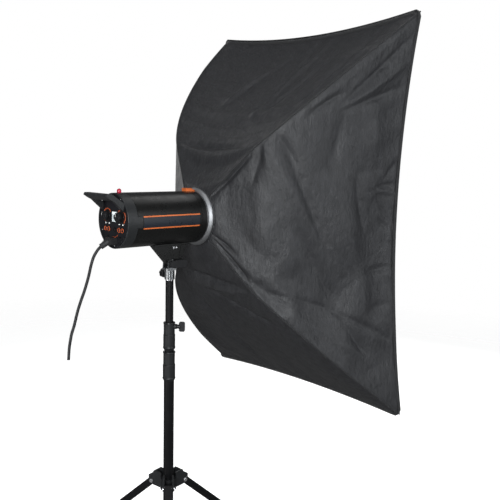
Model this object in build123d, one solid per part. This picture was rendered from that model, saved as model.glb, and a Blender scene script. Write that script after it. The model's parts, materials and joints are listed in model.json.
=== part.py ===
from build123d import *
import os
from math import atan2, cos, radians, sin

# Studio softbox: a rectangular softbox with four bent rods, on a monolight flash head, on a three-section
# light stand. Millimetres, +Z up. The origin is on the floor, on the stand's column. The softbox faces -Y.
# "Station" is the distance along the flash axis behind the speedring's mouth; the column is at
# STAND_STATION.

# --- driving dimensions -----------------------------------------------------------------------------------
FLASH_AXIS_Z = 1090.0      # height of the flash axis above the floor
STAND_STATION = 102.0      # station of the column's axis
RUN = 0.06                 # radial clearance of a running fit
GAP = 0.15                 # clearance between pieces that are fixed to each other

HEAD_R = 62.0              # flash head's outer radius
HEAD_WALL = 2.5
FRONT_BORE_R = 50.0
COLLAR_STATIONS = (38.5, 53.8)
HOUSING_STATIONS = (54.5, 231.0)
SEAM = 0.7                         # open seam between two mouldings of the casing
COVER_STATIONS = (HOUSING_STATIONS[1] + SEAM, 257.0)
TONGUE_STATION = 218.0     # the rear cover's side tongues reach forward to here
TONGUE_HALF = 13.0
PANEL_STATIONS = (250.0, 253.0)
STRIPE_STATIONS = (61.0, 217.0)
STRIPE_HEIGHTS = (12.0, -14.4)
STRIPE_WIDTH = 3.0

CASING_FIT = 0.05                  # between the housing's skin and what is fixed on it
SLIDER_STATIONS, SLIDER_TOP = (36.0, 61.0), 69.0
SENSOR_STATION, SENSOR_R, SENSOR_Z = 241.0, 5.0, 66.0

# Rear panel: x and height from the flash axis, in millimetres, then sizes.
DIAL_X, DIAL_Z, DIAL_R = 28.0, 10.0, 13.0
BUTTON_X, BUTTON_Z, BUTTON_R = (20.5, 34.5), -19.0, 5.0
SWITCH_X, SWITCH_Z, SWITCH_HALF = -23.0, -42.0, (4.5, 6.2)
SWITCH_PIVOT_STATION = 248.0
INLET_X, INLET_Z = 2.0, -45.0
DISPLAY_Z, DISPLAY_SIZE = 9.0, (18.0, 22.0)
LAMP_Z, LAMP_R = -6.5, 1.5
JACKS = [(0, -20, 5.5), (30, -40, 6.5), (-41, -35, 4.0)]     # x, height and radius
HANDLE_HALF, HANDLE_ARM = 47.0, 9.0

FAN_STATION, FAN_BLADES = 233.0, 7
TUBE_STATION, TUBE_R, TUBE_THICKNESS = 33.5, 34.0, 5.0       # flash tube's ring
LAMP_STATIONS, REFLECTOR_STATION = (21.5, 55.5), 43.5

SOFTBOX_HALF = (350.0, 500.0)      # half width and half height at the front edge
SOFTBOX_FRONT_STATION = -369.0
KINK_HALF = (144.0, 165.0)         # where the rods bend forward
KINK_STATION = -27.0
ROD_CONTROL = (263.0, 275.0)       # control point of the rods' bend: half width and half height
ROD_CONTROL_STATION = -92.0
RING_OPENING_R = 66.5              # round opening in the back of the shell
RING_OPENING_STATION = 22.0
ADAPTER_R = 63.7                   # drum between the front collar and the speedring
ADAPTER_LIP_STATIONS = (22.6, 26.0)
SIDE_BOW, TOP_BOW, BOTTOM_BOW = 44.0, 27.0, 14.0   # how far each front edge curves in at its middle
SHELL_WALL = 2.2
BINDING_DEPTH = 8.0
SHELL_STEPS = 9                    # flat bands along the rods' bend
ROD_R = 3.5
ROD_INSET = 13.0                   # rod axis inside the shell's corner
SPEEDRING_BORE_R = 46.0
SPEEDRING_HUB_R = 55.0
SPEEDRING_R, ROD_SOCKET_R = 74.0, 6.5

TILT_PIVOT_Z = FLASH_AXIS_Z - 108.0
WEB_HALF = 7.5                     # half thickness of the bracket's web
RECEIVER_R = 12.0
RECEIVER_Z = (944.0, 970.0)
STUD_R, STUD_ROOT_Z, STUD_TOP_Z = 7.94, 915.0, 968.0       # 5/8 inch stud on the top tube
RECEIVER_KNOB_Z = 956.0
PIVOT_BOLT_R = 4.0
LEVER_X = (-24.5, -16.5)
BRACKET_LUG = 9.0
BRACKET_Y = (-44.0, 53.0)          # front and back of the bracket under the housing
BRACKET_HEIGHTS = (-63.0, -56.0)   # bracket's top flange, from the flash axis

TOP_TUBE_R, MIDDLE_TUBE_R, BASE_TUBE_R = 9.5, 11.0, 12.5
TUBE_WALL, TOP_TUBE_WALL = 1.3, 1.5
TOP_TUBE_Z = (300.0, 941.0)
MIDDLE_TUBE_Z = (200.0, 821.0)
BASE_TUBE_Z = (8.0, 749.0)
MIDDLE_COLLAR_Z, MIDDLE_COLLAR_R = (771.0, 839.0), (13.3, 14.2)    # radii: upper part, lower part
BASE_COLLAR_Z, BASE_COLLAR_R = (695.0, 767.0), (14.0, 15.0)
COLLAR_STEP_SHARE = 0.55           # share of the collar's height below its step
KNOB_DROP, KNOB_BOSS_R = 10.0, 6.0     # knob axis below the collar's top, and its boss
WING_KNOB_HALF = (2.2, 12.0)       # half thickness and half width of a wing knob
SCREW_GAP = 0.3                    # clamp screw's tip to the tube, when slack

LEG_AZIMUTHS = (24.0, 144.0, 264.0)
LEG_SPREAD = 48.0                  # leg's angle from vertical when open
LEG_PIVOT_R, LEG_PIVOT_Z = 41.0, 435.0
LEG_END = 645.0                    # pivot to the end of the rubber foot
LEG_HALF, LEG_WALL = 9.0, 1.5      # half side and wall of the channel
BRACE_REACH = 312.0                # leg pivot to brace pivot, and brace length
BRACE_HALF_WIDTH, BRACE_HALF_THICKNESS = 6.0, 2.0
WING_GAP_HALF, WING_THICKNESS = 9.4, 3.0
WING_OUTLINE = [(14, -14), (36, -10), (46, -6), (49, 4), (49, 14), (28, 28), (14, 24)]
EAR_OUTLINE = [(15, -6), (38, -6.5), (47, -3), (47.5, 3), (42, 7), (15, 12)]
EAR_INNER, EAR_OUTER, EAR_RIVET_R = 2.8, 5.3, 4.0
HUB_R, HUB_Z, HUB_BOSS_Z = 18.5, (418.0, 446.0), 433.0
BOLT_HEAD_R, RIVET_HEAD_R = 5.0, 4.5
SIN_SPREAD, COS_SPREAD = sin(radians(LEG_SPREAD)), cos(radians(LEG_SPREAD))
LOWER_PIVOT_Z = LEG_PIVOT_Z - 2 * BRACE_REACH * COS_SPREAD
HUB_KNOB_AZIMUTH = 324.0
MIDDLE_KNOB_AZIMUTH = 222.0
PIN_R = 3.0
THREAD_R = 3.0

PLUG_END = (13.0, 280.0, -57.0)    # x, station and height where the cable leaves the plug
CABLE_R = 3.5
CABLE_POINTS = [(20, 299, -92), (26, 307, -135), (36, 325, -197), (42, 336, -250), (46, 344, -310)]

ROD_START_R = 58.0
ROD_START_STATION = -1.0
ROD_REACH = 0.965                  # how far along the corner's curve the rod's tip lies
ROD_LEAD = (9.0, 7.0)              # rod axis ahead of the shell's corner at the kink and at the bend

os.makedirs("parts", exist_ok=True)


# --- helpers ---------------------------------------------------------------------------------------------
def y_at(station):
    return station - STAND_STATION


def z_at(height):
    return FLASH_AXIS_Z + height


def block(x, y, z):
    """Box from three (low, high) pairs."""
    centre = Pos(*[(low + high) / 2 for low, high in (x, y, z)])
    return centre * Box(*[high - low for low, high in (x, y, z)])


def bar(start, end, radius):
    """Round bar from one point to another."""
    a, b = Vector(*start), Vector(*end)
    return Solid.make_cylinder(radius, (b - a).length, Plane(origin=a, z_dir=b - a))


def bar_y(x, z, radius, stations):
    """Round bar along the flash axis direction, centred x and z from that axis."""
    return bar((x, y_at(stations[0]), z_at(z)), (x, y_at(stations[1]), z_at(z)), radius)


def ring_y(outer, inner, stations):
    long_bore = (stations[0] - 1, stations[1] + 1)
    return bar_y(0, 0, outer, stations) - bar_y(0, 0, inner, long_bore)


def post(radius, z):
    return bar((0, 0, z[0]), (0, 0, z[1]), radius)


def tube_z(outer, inner, z):
    return post(outer, z) - post(inner, (z[0] - 1, z[1] + 1))


def turned_z(profile):
    """Solid of revolution about the column from (radius, z) points."""
    outline = make_face(Polyline(*[(r, 0, z) for r, z in profile], close=True))
    return revolve(outline, Axis.Z)


def turned_y(profile):
    """Solid of revolution about the flash axis from (radius, station) points."""
    points = [(0, y_at(s), z_at(r)) for r, s in profile]
    axis = Axis((0, 0, FLASH_AXIS_Z), (0, 1, 0))
    return revolve(make_face(Polyline(*points, close=True)), axis)


def plate_x(outline, x):
    """Plate from (y, z) points, between two x values."""
    face = make_face(Polyline(*[(x[0], y, z) for y, z in outline], close=True))
    return extrude(face, amount=x[1] - x[0], dir=(1, 0, 0))


def plate_radial(outline, azimuth, across):
    """Upright plate at an azimuth from (radius, z) points, between two distances across it."""
    face = make_face(Polyline(*[(r, across[0], z) for r, z in outline], close=True))
    return Rot(0, 0, azimuth) * extrude(face, amount=across[1] - across[0], dir=(0, 1, 0))


def save(shape, name):
    export_step(shape, f"parts/{name}.step")


def save_group(shapes, name):
    export_step(Compound(children=list(shapes)), f"parts/{name}.step")


# --- light stand: column ---------------------------------------------------------------------------------
def build_column():
    save(tube_z(BASE_TUBE_R, BASE_TUBE_R - TUBE_WALL, BASE_TUBE_Z), "base_tube")
    cap = post(13.5, (0, 7.9)) + post(BASE_TUBE_R - TUBE_WALL - GAP, (7.9, 28))
    save(cap, "column_foot")
    save(collar(BASE_COLLAR_Z, BASE_COLLAR_R, BASE_TUBE_R, MIDDLE_TUBE_R, BASE_TUBE_Z[1]), "base_collar")
    save(tube_z(MIDDLE_TUBE_R, MIDDLE_TUBE_R - TUBE_WALL, MIDDLE_TUBE_Z), "middle_tube")
    middle = collar(MIDDLE_COLLAR_Z, MIDDLE_COLLAR_R, MIDDLE_TUBE_R, TOP_TUBE_R, MIDDLE_TUBE_Z[1])
    save(middle, "middle_collar")
    save(tube_z(TOP_TUBE_R, TOP_TUBE_R - TOP_TUBE_WALL, TOP_TUBE_Z), "top_tube")
    middle_z, base_z = MIDDLE_COLLAR_Z[1] - KNOB_DROP, BASE_COLLAR_Z[1] - KNOB_DROP
    knob = clamp_knob(middle_z, MIDDLE_KNOB_AZIMUTH, MIDDLE_COLLAR_R[0], TOP_TUBE_R)
    save(knob, "middle_clamp_knob")
    save(clamp_knob(base_z, HUB_KNOB_AZIMUTH, BASE_COLLAR_R[0], MIDDLE_TUBE_R), "base_clamp_knob")


def collar(z, radii, tube_r, next_r, tube_top):
    """Clamp collar: seats on its own tube and guides the next tube with a running fit."""
    low, high = z
    upper_r, lower_r = radii
    step = low + COLLAR_STEP_SHARE * (high - low)
    profile = [
        (tube_r + GAP, low),
        (lower_r - 2.2, low),
        (lower_r + 0.8, low + 6),
        (lower_r, low + 9),
        (lower_r, step),
        (upper_r, step + 1.5),
        (upper_r, high - 4),
        (upper_r + 1.2, high - 2.5),
        (upper_r + 0.6, high),
        (next_r + RUN, high),
        (next_r + RUN, tube_top + GAP),
        (tube_r + GAP, tube_top + GAP),
    ]
    azimuth = MIDDLE_KNOB_AZIMUTH if tube_r == MIDDLE_TUBE_R else HUB_KNOB_AZIMUTH
    knob_z = high - KNOB_DROP
    boss = Rot(0, 0, azimuth) * bar((next_r + 1.5, 0, knob_z), (upper_r + 5, 0, knob_z), KNOB_BOSS_R)
    screw_hole = Rot(0, 0, azimuth) * bar((0, 0, knob_z), (upper_r + 6, 0, knob_z), THREAD_R + RUN)
    bore = post(next_r + RUN, (tube_top, high + 1)) + post(tube_r + GAP, (low - 1, tube_top + GAP))
    return turned_z(profile) + (boss - post(upper_r - 0.5, (low, high))) - bore - screw_hole


def clamp_knob(z, azimuth, collar_r, tube_r):
    """Wing knob: a screw that presses on the inner tube, a waisted hub and two flat wings."""
    base = collar_r + 5.5
    half_x, half_z = WING_KNOB_HALF
    screw = bar((tube_r + SCREW_GAP, 0, z), (base + 2, 0, z), THREAD_R)
    hub = bar((base, 0, z), (base + 8, 0, z), 5.0)
    wing = block((base + 5, base + 19), (-half_x, half_x), (z - half_z, z + half_z))
    wing = fillet(wing.edges().filter_by(Axis.Y), 4.0)
    return Rot(0, 0, azimuth) * (screw + hub + wing)


def lobed_knob(start, direction, radius, thickness, lobes):
    """Round knob with hollows cut round its rim."""
    plane = Plane(origin=start, z_dir=direction)
    outline = Circle(radius)
    for hollow in PolarLocations(radius + 1.6, lobes):
        outline -= hollow * Circle(2.8)
    return extrude(plane * outline, amount=thickness)


# --- light stand: tripod ---------------------------------------------------------------------------------
def leg_point(along, outward):
    """(radius, z) of a point along a leg from its pivot and outward from its centre line."""
    r = LEG_PIVOT_R + along * SIN_SPREAD + outward * COS_SPREAD
    z = LEG_PIVOT_Z - along * COS_SPREAD + outward * SIN_SPREAD
    return r, z


def brace_point(along, outward):
    """(radius, z) of a point along a brace from its outer pivot, and away from the column."""
    pivot_r, pivot_z = leg_point(BRACE_REACH, 0)
    r = pivot_r - along * SIN_SPREAD + outward * COS_SPREAD
    z = pivot_z - along * COS_SPREAD - outward * SIN_SPREAD
    return r, z


def cross_pin(radius, z, pin_r, half_length, azimuth):
    pin = bar((radius, -half_length, z), (radius, half_length, z), pin_r)
    return Rot(0, 0, azimuth) * pin


def build_tripod():
    build_leg_hub()
    build_lower_hub()
    for number, azimuth in enumerate(LEG_AZIMUTHS, start=1):
        save(leg(azimuth), f"leg_{number}")
        save(foot(azimuth), f"foot_{number}")
        save(brace(azimuth), f"brace_{number}")


def build_leg_hub():
    """Sliding hub with two wings for each leg, the bolts across them and the knob that clamps the hub."""
    hub = post(HUB_R, HUB_Z) + post(HUB_R + 1, (HUB_Z[0], HUB_Z[0] + 3))
    outer = WING_GAP_HALF + WING_THICKNESS
    wing = [(r, LEG_PIVOT_Z + z) for r, z in WING_OUTLINE]
    pivot_bolts = []
    for azimuth in LEG_AZIMUTHS:
        hub += plate_radial(wing, azimuth, (-outer, -WING_GAP_HALF))
        hub += plate_radial(wing, azimuth, (WING_GAP_HALF, outer))
        hub -= cross_pin(LEG_PIVOT_R, LEG_PIVOT_Z, PIN_R + RUN, outer + 1, azimuth)
        bolt = cross_pin(LEG_PIVOT_R, LEG_PIVOT_Z, PIN_R, outer + 2.6, azimuth)
        heads = cross_pin(LEG_PIVOT_R, LEG_PIVOT_Z, BOLT_HEAD_R, outer + 2.2, azimuth)
        heads -= cross_pin(LEG_PIVOT_R, LEG_PIVOT_Z, BOLT_HEAD_R + 1, outer + 0.05, azimuth)
        pivot_bolts.append(bolt + heads)
    turn = Rot(0, 0, HUB_KNOB_AZIMUTH)
    boss = turn * bar((15, 0, HUB_BOSS_Z), (26, 0, HUB_BOSS_Z), 8.0)
    screw_hole = turn * bar((0, 0, HUB_BOSS_Z), (30, 0, HUB_BOSS_Z), THREAD_R + RUN)
    hub = hub + boss - screw_hole - post(BASE_TUBE_R + RUN, (HUB_Z[0] - 20, HUB_Z[1] + 30))
    save(hub, "leg_hub")
    save_group(pivot_bolts, "leg_pivot_bolts")
    screw = bar((BASE_TUBE_R + SCREW_GAP, 0, HUB_BOSS_Z), (28, 0, HUB_BOSS_Z), THREAD_R)
    grip = lobed_knob((26.4, 0, HUB_BOSS_Z), (1, 0, 0), 14.0, 13.0, 6)
    save(turn * (screw + grip), "hub_knob")


def build_lower_hub():
    """Fixed hub at the foot of the column, with a riveted pair of ears for each brace."""
    hub = post(17.5, (LOWER_PIVOT_Z - 6, LOWER_PIVOT_Z + 16))
    ear = [(r, LOWER_PIVOT_Z + z) for r, z in EAR_OUTLINE]
    for azimuth in LEG_AZIMUTHS:
        hub += plate_radial(ear, azimuth, (-EAR_OUTER, -EAR_INNER))
        hub += plate_radial(ear, azimuth, (EAR_INNER, EAR_OUTER))
        heads = cross_pin(LEG_PIVOT_R, LOWER_PIVOT_Z, EAR_RIVET_R, EAR_OUTER + 1.7, azimuth)
        heads -= cross_pin(LEG_PIVOT_R, LOWER_PIVOT_Z, EAR_RIVET_R + 1, EAR_OUTER, azimuth)
        hub += heads
    save(hub - post(BASE_TUBE_R + GAP, (0, 60)), "lower_hub")


def leg(azimuth):
    """U channel with its web outward, open towards the column, and the brace's rivet across it."""
    end = LEG_END - 22
    inner = LEG_HALF - LEG_WALL
    corners = ((-5, -LEG_HALF), (-9, -5), (-9, 5), (-5, LEG_HALF), (end, LEG_HALF), (end, -LEG_HALF))
    channel = plate_radial([leg_point(*p) for p in corners], azimuth, (-LEG_HALF, LEG_HALF))
    inside = [leg_point(*p) for p in ((-12, -12), (-12, inner), (end + 1, inner), (end + 1, -12))]
    channel -= plate_radial(inside, azimuth, (-inner, inner))
    channel -= cross_pin(LEG_PIVOT_R, LEG_PIVOT_Z, PIN_R + RUN, LEG_HALF + 1, azimuth)
    rivet_r, rivet_z = leg_point(BRACE_REACH, 0)
    rivet = cross_pin(rivet_r, rivet_z, PIN_R, LEG_HALF, azimuth)
    heads = cross_pin(rivet_r, rivet_z, RIVET_HEAD_R, LEG_HALF + 1.6, azimuth)
    heads -= cross_pin(rivet_r, rivet_z, RIVET_HEAD_R + 1, LEG_HALF - 0.1, azimuth)
    return channel + rivet + heads


def foot(azimuth):
    """Rubber boot on the end of the leg, flat where it stands on the floor."""
    half = LEG_HALF + 3
    start, end = LEG_END - 45, LEG_END
    corners = ((start, -half), (start, half), (end - 8, half), (end, half - 8), (end, -half))
    boot = plate_radial([leg_point(*p) for p in corners], azimuth, (-half, half))
    hold, bottom = LEG_HALF + GAP, end - 21.5
    inside = ((start - 1, -hold), (start - 1, hold), (bottom, hold), (bottom, -hold))
    boot -= plate_radial([leg_point(*p) for p in inside], azimuth, (-hold, hold))
    below_floor = block((-900, 900), (-900, 900), (-50, 0))
    return boot - below_floor


def brace(azimuth):
    """Flat bar from inside the leg's channel down to between the lower hub's ears."""
    w = BRACE_HALF_WIDTH
    ends = ((-4, -w), (-6, -4), (-6, 4), (-4, w), (BRACE_REACH + 4, w), (BRACE_REACH + 6, 4))
    profile = [brace_point(*p) for p in ends + ((BRACE_REACH + 6, -4), (BRACE_REACH + 4, -w))]
    flat = plate_radial(profile, azimuth, (-BRACE_HALF_THICKNESS, BRACE_HALF_THICKNESS))
    pivot_r, pivot_z = leg_point(BRACE_REACH, 0)
    return flat - cross_pin(pivot_r, pivot_z, PIN_R + RUN, 10, azimuth)


# --- tilt head -------------------------------------------------------------------------------------------
def build_tilt_head():
    low, high = RECEIVER_Z
    tube_top = TOP_TUBE_Z[1]
    stud = post(STUD_R, (tube_top, STUD_TOP_Z))
    stud += post(TOP_TUBE_R + 0.4, (tube_top + 0.05, low - 0.1))
    stud += post(TOP_TUBE_R - TOP_TUBE_WALL - GAP, (STUD_ROOT_Z, tube_top + 0.05))
    save(stud, "spigot")
    pivot_bore = bar((-20, 0, TILT_PIVOT_Z), (20, 0, TILT_PIVOT_Z), PIVOT_BOLT_R + RUN)
    body = post(RECEIVER_R, (low, high))
    body += block((-RECEIVER_R, RECEIVER_R), (-9, 9), (high - 4, high))
    ear = [(-12, high - 1), (12, high - 1), (10.5, TILT_PIVOT_Z), (7.4, TILT_PIVOT_Z + 7.4)]
    ear += [(0, TILT_PIVOT_Z + 10.5), (-7.4, TILT_PIVOT_Z + 7.4), (-10.5, TILT_PIVOT_Z)]
    for x in ((WEB_HALF + 0.1, WEB_HALF + 5), (-WEB_HALF - 5, -WEB_HALF - 0.1)):
        body += plate_x(ear, x)
    body -= post(STUD_R + RUN, (low - 1, STUD_TOP_Z + 0.2))
    body -= bar((0, 0, RECEIVER_KNOB_Z), (20, 0, RECEIVER_KNOB_Z), THREAD_R + RUN)
    save(body - pivot_bore, "receiver")
    screw = bar((STUD_R + SCREW_GAP, 0, RECEIVER_KNOB_Z), (15, 0, RECEIVER_KNOB_Z), THREAD_R)
    grip = lobed_knob((13.2, 0, RECEIVER_KNOB_Z), (1, 0, 0), 11.0, 14.0, 7)
    save(screw + grip, "receiver_knob")
    save(tilt_lever(), "tilt_lever")
    save(head_bracket() - pivot_bore, "head_bracket")
    save_group([bracket_screw(side, y) for y in (-5.4, -13.2) for side in (-1, 1)], "bracket_screws")


def tilt_lever():
    """Clamp bolt through the clevis with a flat handle on its near end and a nut on the other."""
    ear = WEB_HALF + 5
    z = TILT_PIVOT_Z
    bolt = bar((-ear - 6, 0, z), (ear + 6, 0, z), PIVOT_BOLT_R)
    nut = bar((ear + 0.1, 0, z), (ear + 5, 0, z), 7)
    hub = bar((LEVER_X[0], 0, z), (-ear - 0.1, 0, z), 9.5)
    grip = [(15, z + 7), (-12, z + 10), (-31, z + 9), (-36, z + 4)]
    grip += [(-35, z - 5), (-30, z - 9), (-8, z - 9), (14, z - 7)]
    handle = plate_x(grip, LEVER_X)
    return bolt + nut + hub + fillet(handle.edges().filter_by(Axis.X), 1.5)


def head_bracket():
    """Gusset under the housing: a thick web that narrows to the tilt pivot, with a rib in front."""
    lug, pivot = BRACKET_LUG, TILT_PIVOT_Z
    front, back = BRACKET_Y
    low, high = (z_at(height) for height in BRACKET_HEIGHTS)
    outline = [(back, high), (back, low), (lug, pivot - 3), (4, pivot - lug), (-4, pivot - lug)]
    outline += [(-lug, pivot - 3), (-30, pivot + 4), (front, low), (front, high)]
    web = plate_x(outline, (-WEB_HALF, WEB_HALF))
    rib = [(front + 0.5, high), (front + 14, high), (-21, pivot + 14), (-30.5, pivot + 8)]
    web += plate_x(rib, (-WEB_HALF - 1.8, WEB_HALF + 1.8))
    web += block((-16, 16), BRACKET_Y, (low, high))
    return web - bar_y(0, 0, HEAD_R + 0.05, (0, 300))


def bracket_screw(side, y):
    """Socket screw in one side of the bracket's web, under the housing."""
    z = z_at(-70)
    head = bar((side * (WEB_HALF + 0.05), y, z), (side * (WEB_HALF + 1.5), y, z), 2.7)
    return head - bar((side * (WEB_HALF + 0.7), y, z), (side * (WEB_HALF + 2), y, z), 1.2)


# --- flash head ------------------------------------------------------------------------------------------
def build_flash_shell():
    inner = HEAD_R - HEAD_WALL
    housing = ring_y(HEAD_R, inner, HOUSING_STATIONS)
    cover = ring_y(HEAD_R, inner, COVER_STATIONS)
    tongue_y = (y_at(TONGUE_STATION), y_at(COVER_STATIONS[0]) + 1)
    slot_half = TONGUE_HALF + SEAM
    for reach in ((-70, -40), (40, 70)):
        housing -= block(reach, (tongue_y[0] - SEAM, 400), (z_at(-slot_half), z_at(slot_half)))
        tongue = block(reach, tongue_y, (z_at(-TONGUE_HALF), z_at(TONGUE_HALF)))
        cover += tongue & ring_y(HEAD_R, inner, (TONGUE_STATION, COVER_STATIONS[1]))
    rear_edges = cover.edges().filter_by(GeomType.CIRCLE).sort_by(Axis.Y)[-2:]
    cover = fillet(rear_edges.sort_by(SortBy.RADIUS)[-1:], 2.0)
    save(housing, "main_housing")
    save(cover, "rear_cover")
    save(ring_y(HEAD_R, FRONT_BORE_R, COLLAR_STATIONS), "front_collar")
    save_group(stripe_trims(), "stripe_trims")
    save(release_slider(), "release_slider")
    sensor_y = y_at(SENSOR_STATION)
    dome = bar((0, sensor_y, z_at(55)), (0, sensor_y, z_at(SENSOR_Z)), SENSOR_R)
    dome += Pos(0, sensor_y, z_at(SENSOR_Z)) * Sphere(SENSOR_R)
    save(dome - bar_y(0, 0, HEAD_R + CASING_FIT, (200, 300)), "slave_sensor")


def stripe_trims():
    """Two thin trims along each side of the housing."""
    shell = ring_y(HEAD_R + 0.6, HEAD_R + CASING_FIT, STRIPE_STATIONS)
    span = (y_at(STRIPE_STATIONS[0]), y_at(STRIPE_STATIONS[1]))
    half = STRIPE_WIDTH / 2
    return [
        shell & block(reach, span, (z_at(height - half), z_at(height + half)))
        for height in STRIPE_HEIGHTS
        for reach in ((-70, -40), (40, 70))
    ]


def release_slider():
    """Ribbed thumb slide on top of the front collar, lower at its nose."""
    front, back = (y_at(station) for station in SLIDER_STATIONS)
    top = z_at(SLIDER_TOP)
    side = [(front, z_at(50)), (front, top - 4), (front + 6, top - 3), (front + 8, top)]
    slider = plate_x(side + [(back, top), (back, z_at(50))], (-9, 9))
    for step in range(3):
        groove = front + 11 + 4 * step
        slider -= block((-7, 7), (groove, groove + 2), (top - 0.8, top + 1))
    return slider - bar_y(0, 0, HEAD_R + RUN, (0, 300))


def build_rear_panel():
    through = (PANEL_STATIONS[0] - 10, PANEL_STATIONS[1] + 7)
    inner_x, outer_x = BUTTON_X
    panel = bar_y(0, 0, HEAD_R - HEAD_WALL - GAP, PANEL_STATIONS)
    for side in (-1, 1):
        panel -= bar_y(side * DIAL_X, DIAL_Z, PIN_R + RUN, through)
        for x in BUTTON_X:
            panel -= bar_y(side * x, BUTTON_Z, BUTTON_R + RUN, through)
    panel -= rear_block(SWITCH_X, SWITCH_Z, 2 * SWITCH_HALF[0] + 0.4, 2 * SWITCH_HALF[1] + 2.6, through)
    panel -= rear_block(0, DISPLAY_Z, DISPLAY_SIZE[0] + 0.4, DISPLAY_SIZE[1] + 0.4, (251.5, 260))
    panel -= rear_block(INLET_X, INLET_Z, 22.4, 16.4, (251.0, 260))
    panel += bar_y(0, 0, PIN_R, (FAN_STATION - 8, PANEL_STATIONS[0] + 1))
    save(panel, "control_panel")
    save(dial(DIAL_X), "dial_left")
    save(dial(-DIAL_X), "dial_right")
    for number, x in enumerate((outer_x, inner_x, -inner_x, -outer_x), start=1):
        cap = bar_y(x, BUTTON_Z, BUTTON_R, (249, 255.2))
        save(cap - bar_y(x, BUTTON_Z, 2.6, (254.6, 256)), f"push_button_{number}")
    save(rear_block(0, DISPLAY_Z, *DISPLAY_SIZE, (251.6, 253.4)), "display_window")
    face = PANEL_STATIONS[1] + CASING_FIT
    lamps = [bar_y(side * x, LAMP_Z, LAMP_R, (face, 254)) for side in (-1, 1) for x in BUTTON_X]
    save_group(lamps, "indicator_lights")
    jacks = [bar_y(x, z, r, (face, 255.4)) - bar_y(x, z, r / 2, (253.6, 256)) for x, z, r in JACKS]
    save_group(jacks, "jack_sockets")
    save(power_switch(), "power_switch")
    save(rear_handle(), "rear_handle")


def rear_block(x, z, width, height, stations):
    """Block on the rear panel, centred at x, z."""
    half_x, half_z = width / 2, height / 2
    span = (y_at(stations[0]), y_at(stations[1]))
    return block((x - half_x, x + half_x), span, (z_at(z - half_z), z_at(z + half_z)))


def dial(x):
    """Turning knob: a skirt, a drum and a raised pointer bar, on a spindle through the panel."""
    knob = bar_y(x, DIAL_Z, DIAL_R, (253.2, 255.5)) + bar_y(x, DIAL_Z, 9.5, (255.5, 266))
    grip = rear_block(x, DIAL_Z, 4.0, 17.0, (266, 268.5))
    return knob + grip + bar_y(x, DIAL_Z, PIN_R, (245, 253.5))


def power_switch():
    """Rocker with a dished face, on a pivot pin behind the panel."""
    half_x, half_z = SWITCH_HALF
    pivot_y, pivot_z = y_at(SWITCH_PIVOT_STATION), z_at(SWITCH_Z)
    side = [(-1.5, -4), (1, -half_z), (6.6, -half_z), (5.4, 0), (6.6, half_z), (1, half_z), (-1.5, 4)]
    rocker = plate_x([(pivot_y + y, pivot_z + z) for y, z in side], (SWITCH_X - half_x, SWITCH_X + half_x))
    reach = half_x + 1.5
    return rocker + bar((SWITCH_X - reach, pivot_y, pivot_z), (SWITCH_X + reach, pivot_y, pivot_z), 1.4)


def rear_handle():
    """Grip: a flat bar across the head, held behind the cover by two sloping arms."""
    side = [(257.1, 22), (257.1, 40), (288, 62), (300, 62), (303, 57), (292, 50), (284, 46)]
    grip = plate_x([(y_at(s), z_at(h)) for s, h in side], (-HANDLE_HALF, HANDLE_HALF))
    opening = HANDLE_HALF - HANDLE_ARM
    grip -= block((-opening, opening), (y_at(250), y_at(285)), (z_at(0), z_at(70)))
    return fillet(grip.edges().filter_by(Axis.X).group_by(Axis.Y)[-1], 1.5)


def build_mains_lead():
    start = (INLET_X, y_at(253.6), z_at(INLET_Z))
    elbow = (INLET_X, y_at(266), z_at(INLET_Z))
    end = (PLUG_END[0], y_at(PLUG_END[1]), z_at(PLUG_END[2]))
    plug = rear_block(INLET_X, INLET_Z, 22, 16, (252.2, 270))
    plug = fillet(plug.edges().filter_by(Axis.Y), 3.0)
    plug += bar(elbow, end, 6.5)
    save(plug, "mains_plug")
    points = [end] + [(x, y_at(s), z_at(h)) for x, s, h in CABLE_POINTS]
    direction = Vector(*end) - Vector(*elbow)
    tangents = [direction.normalized(), Vector(0.05, 0.02, -1)]
    path = Spline(*points, tangents=tangents)
    start_plane = Plane(origin=path @ 0, z_dir=path % 0)
    cord = sweep(start_plane * Circle(CABLE_R), path=path)
    plug_face = Plane(origin=Vector(*end), z_dir=direction)
    save(Pos(*(plug_face.z_dir * 0.2)) * cord, "power_cable")


def build_flash_inside():
    turned = Rot(90, 0, 0)
    ring = Pos(0, y_at(TUBE_STATION), FLASH_AXIS_Z) * turned * Torus(TUBE_R, TUBE_THICKNESS)
    save(ring, "flash_tube")
    lamp = bar_y(0, 0, 9, LAMP_STATIONS) + Pos(0, y_at(LAMP_STATIONS[0]), FLASH_AXIS_Z) * Sphere(12)
    save(lamp, "modelling_lamp")
    plate = ring_y(FRONT_BORE_R - 0.5, 14, (REFLECTOR_STATION, REFLECTOR_STATION + 2))
    save(plate + ring_y(16, 14, (REFLECTOR_STATION + 2, REFLECTOR_STATION + 14)), "reflector_plate")
    cans = [bar_y(x, z, 16, (75, 150)) for x in (-21, 21) for z in (-21, 21)]
    save_group(cans, "capacitor_bank")
    save(power_board(), "power_board")
    save(cooling_fan(), "cooling_fan")


def power_board():
    """Circuit board with a finned heat sink on it."""
    sink_y = (y_at(165), y_at(207))
    board = block((-50, 50), (y_at(160), y_at(212)), (z_at(-24), z_at(-22)))
    board += block((-26, 26), sink_y, (z_at(-22), z_at(-12)))
    for fin in range(6):
        x = -22 + 8 * fin
        board += block((x, x + 3), sink_y, (z_at(-12), z_at(6)))
    return board


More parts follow.
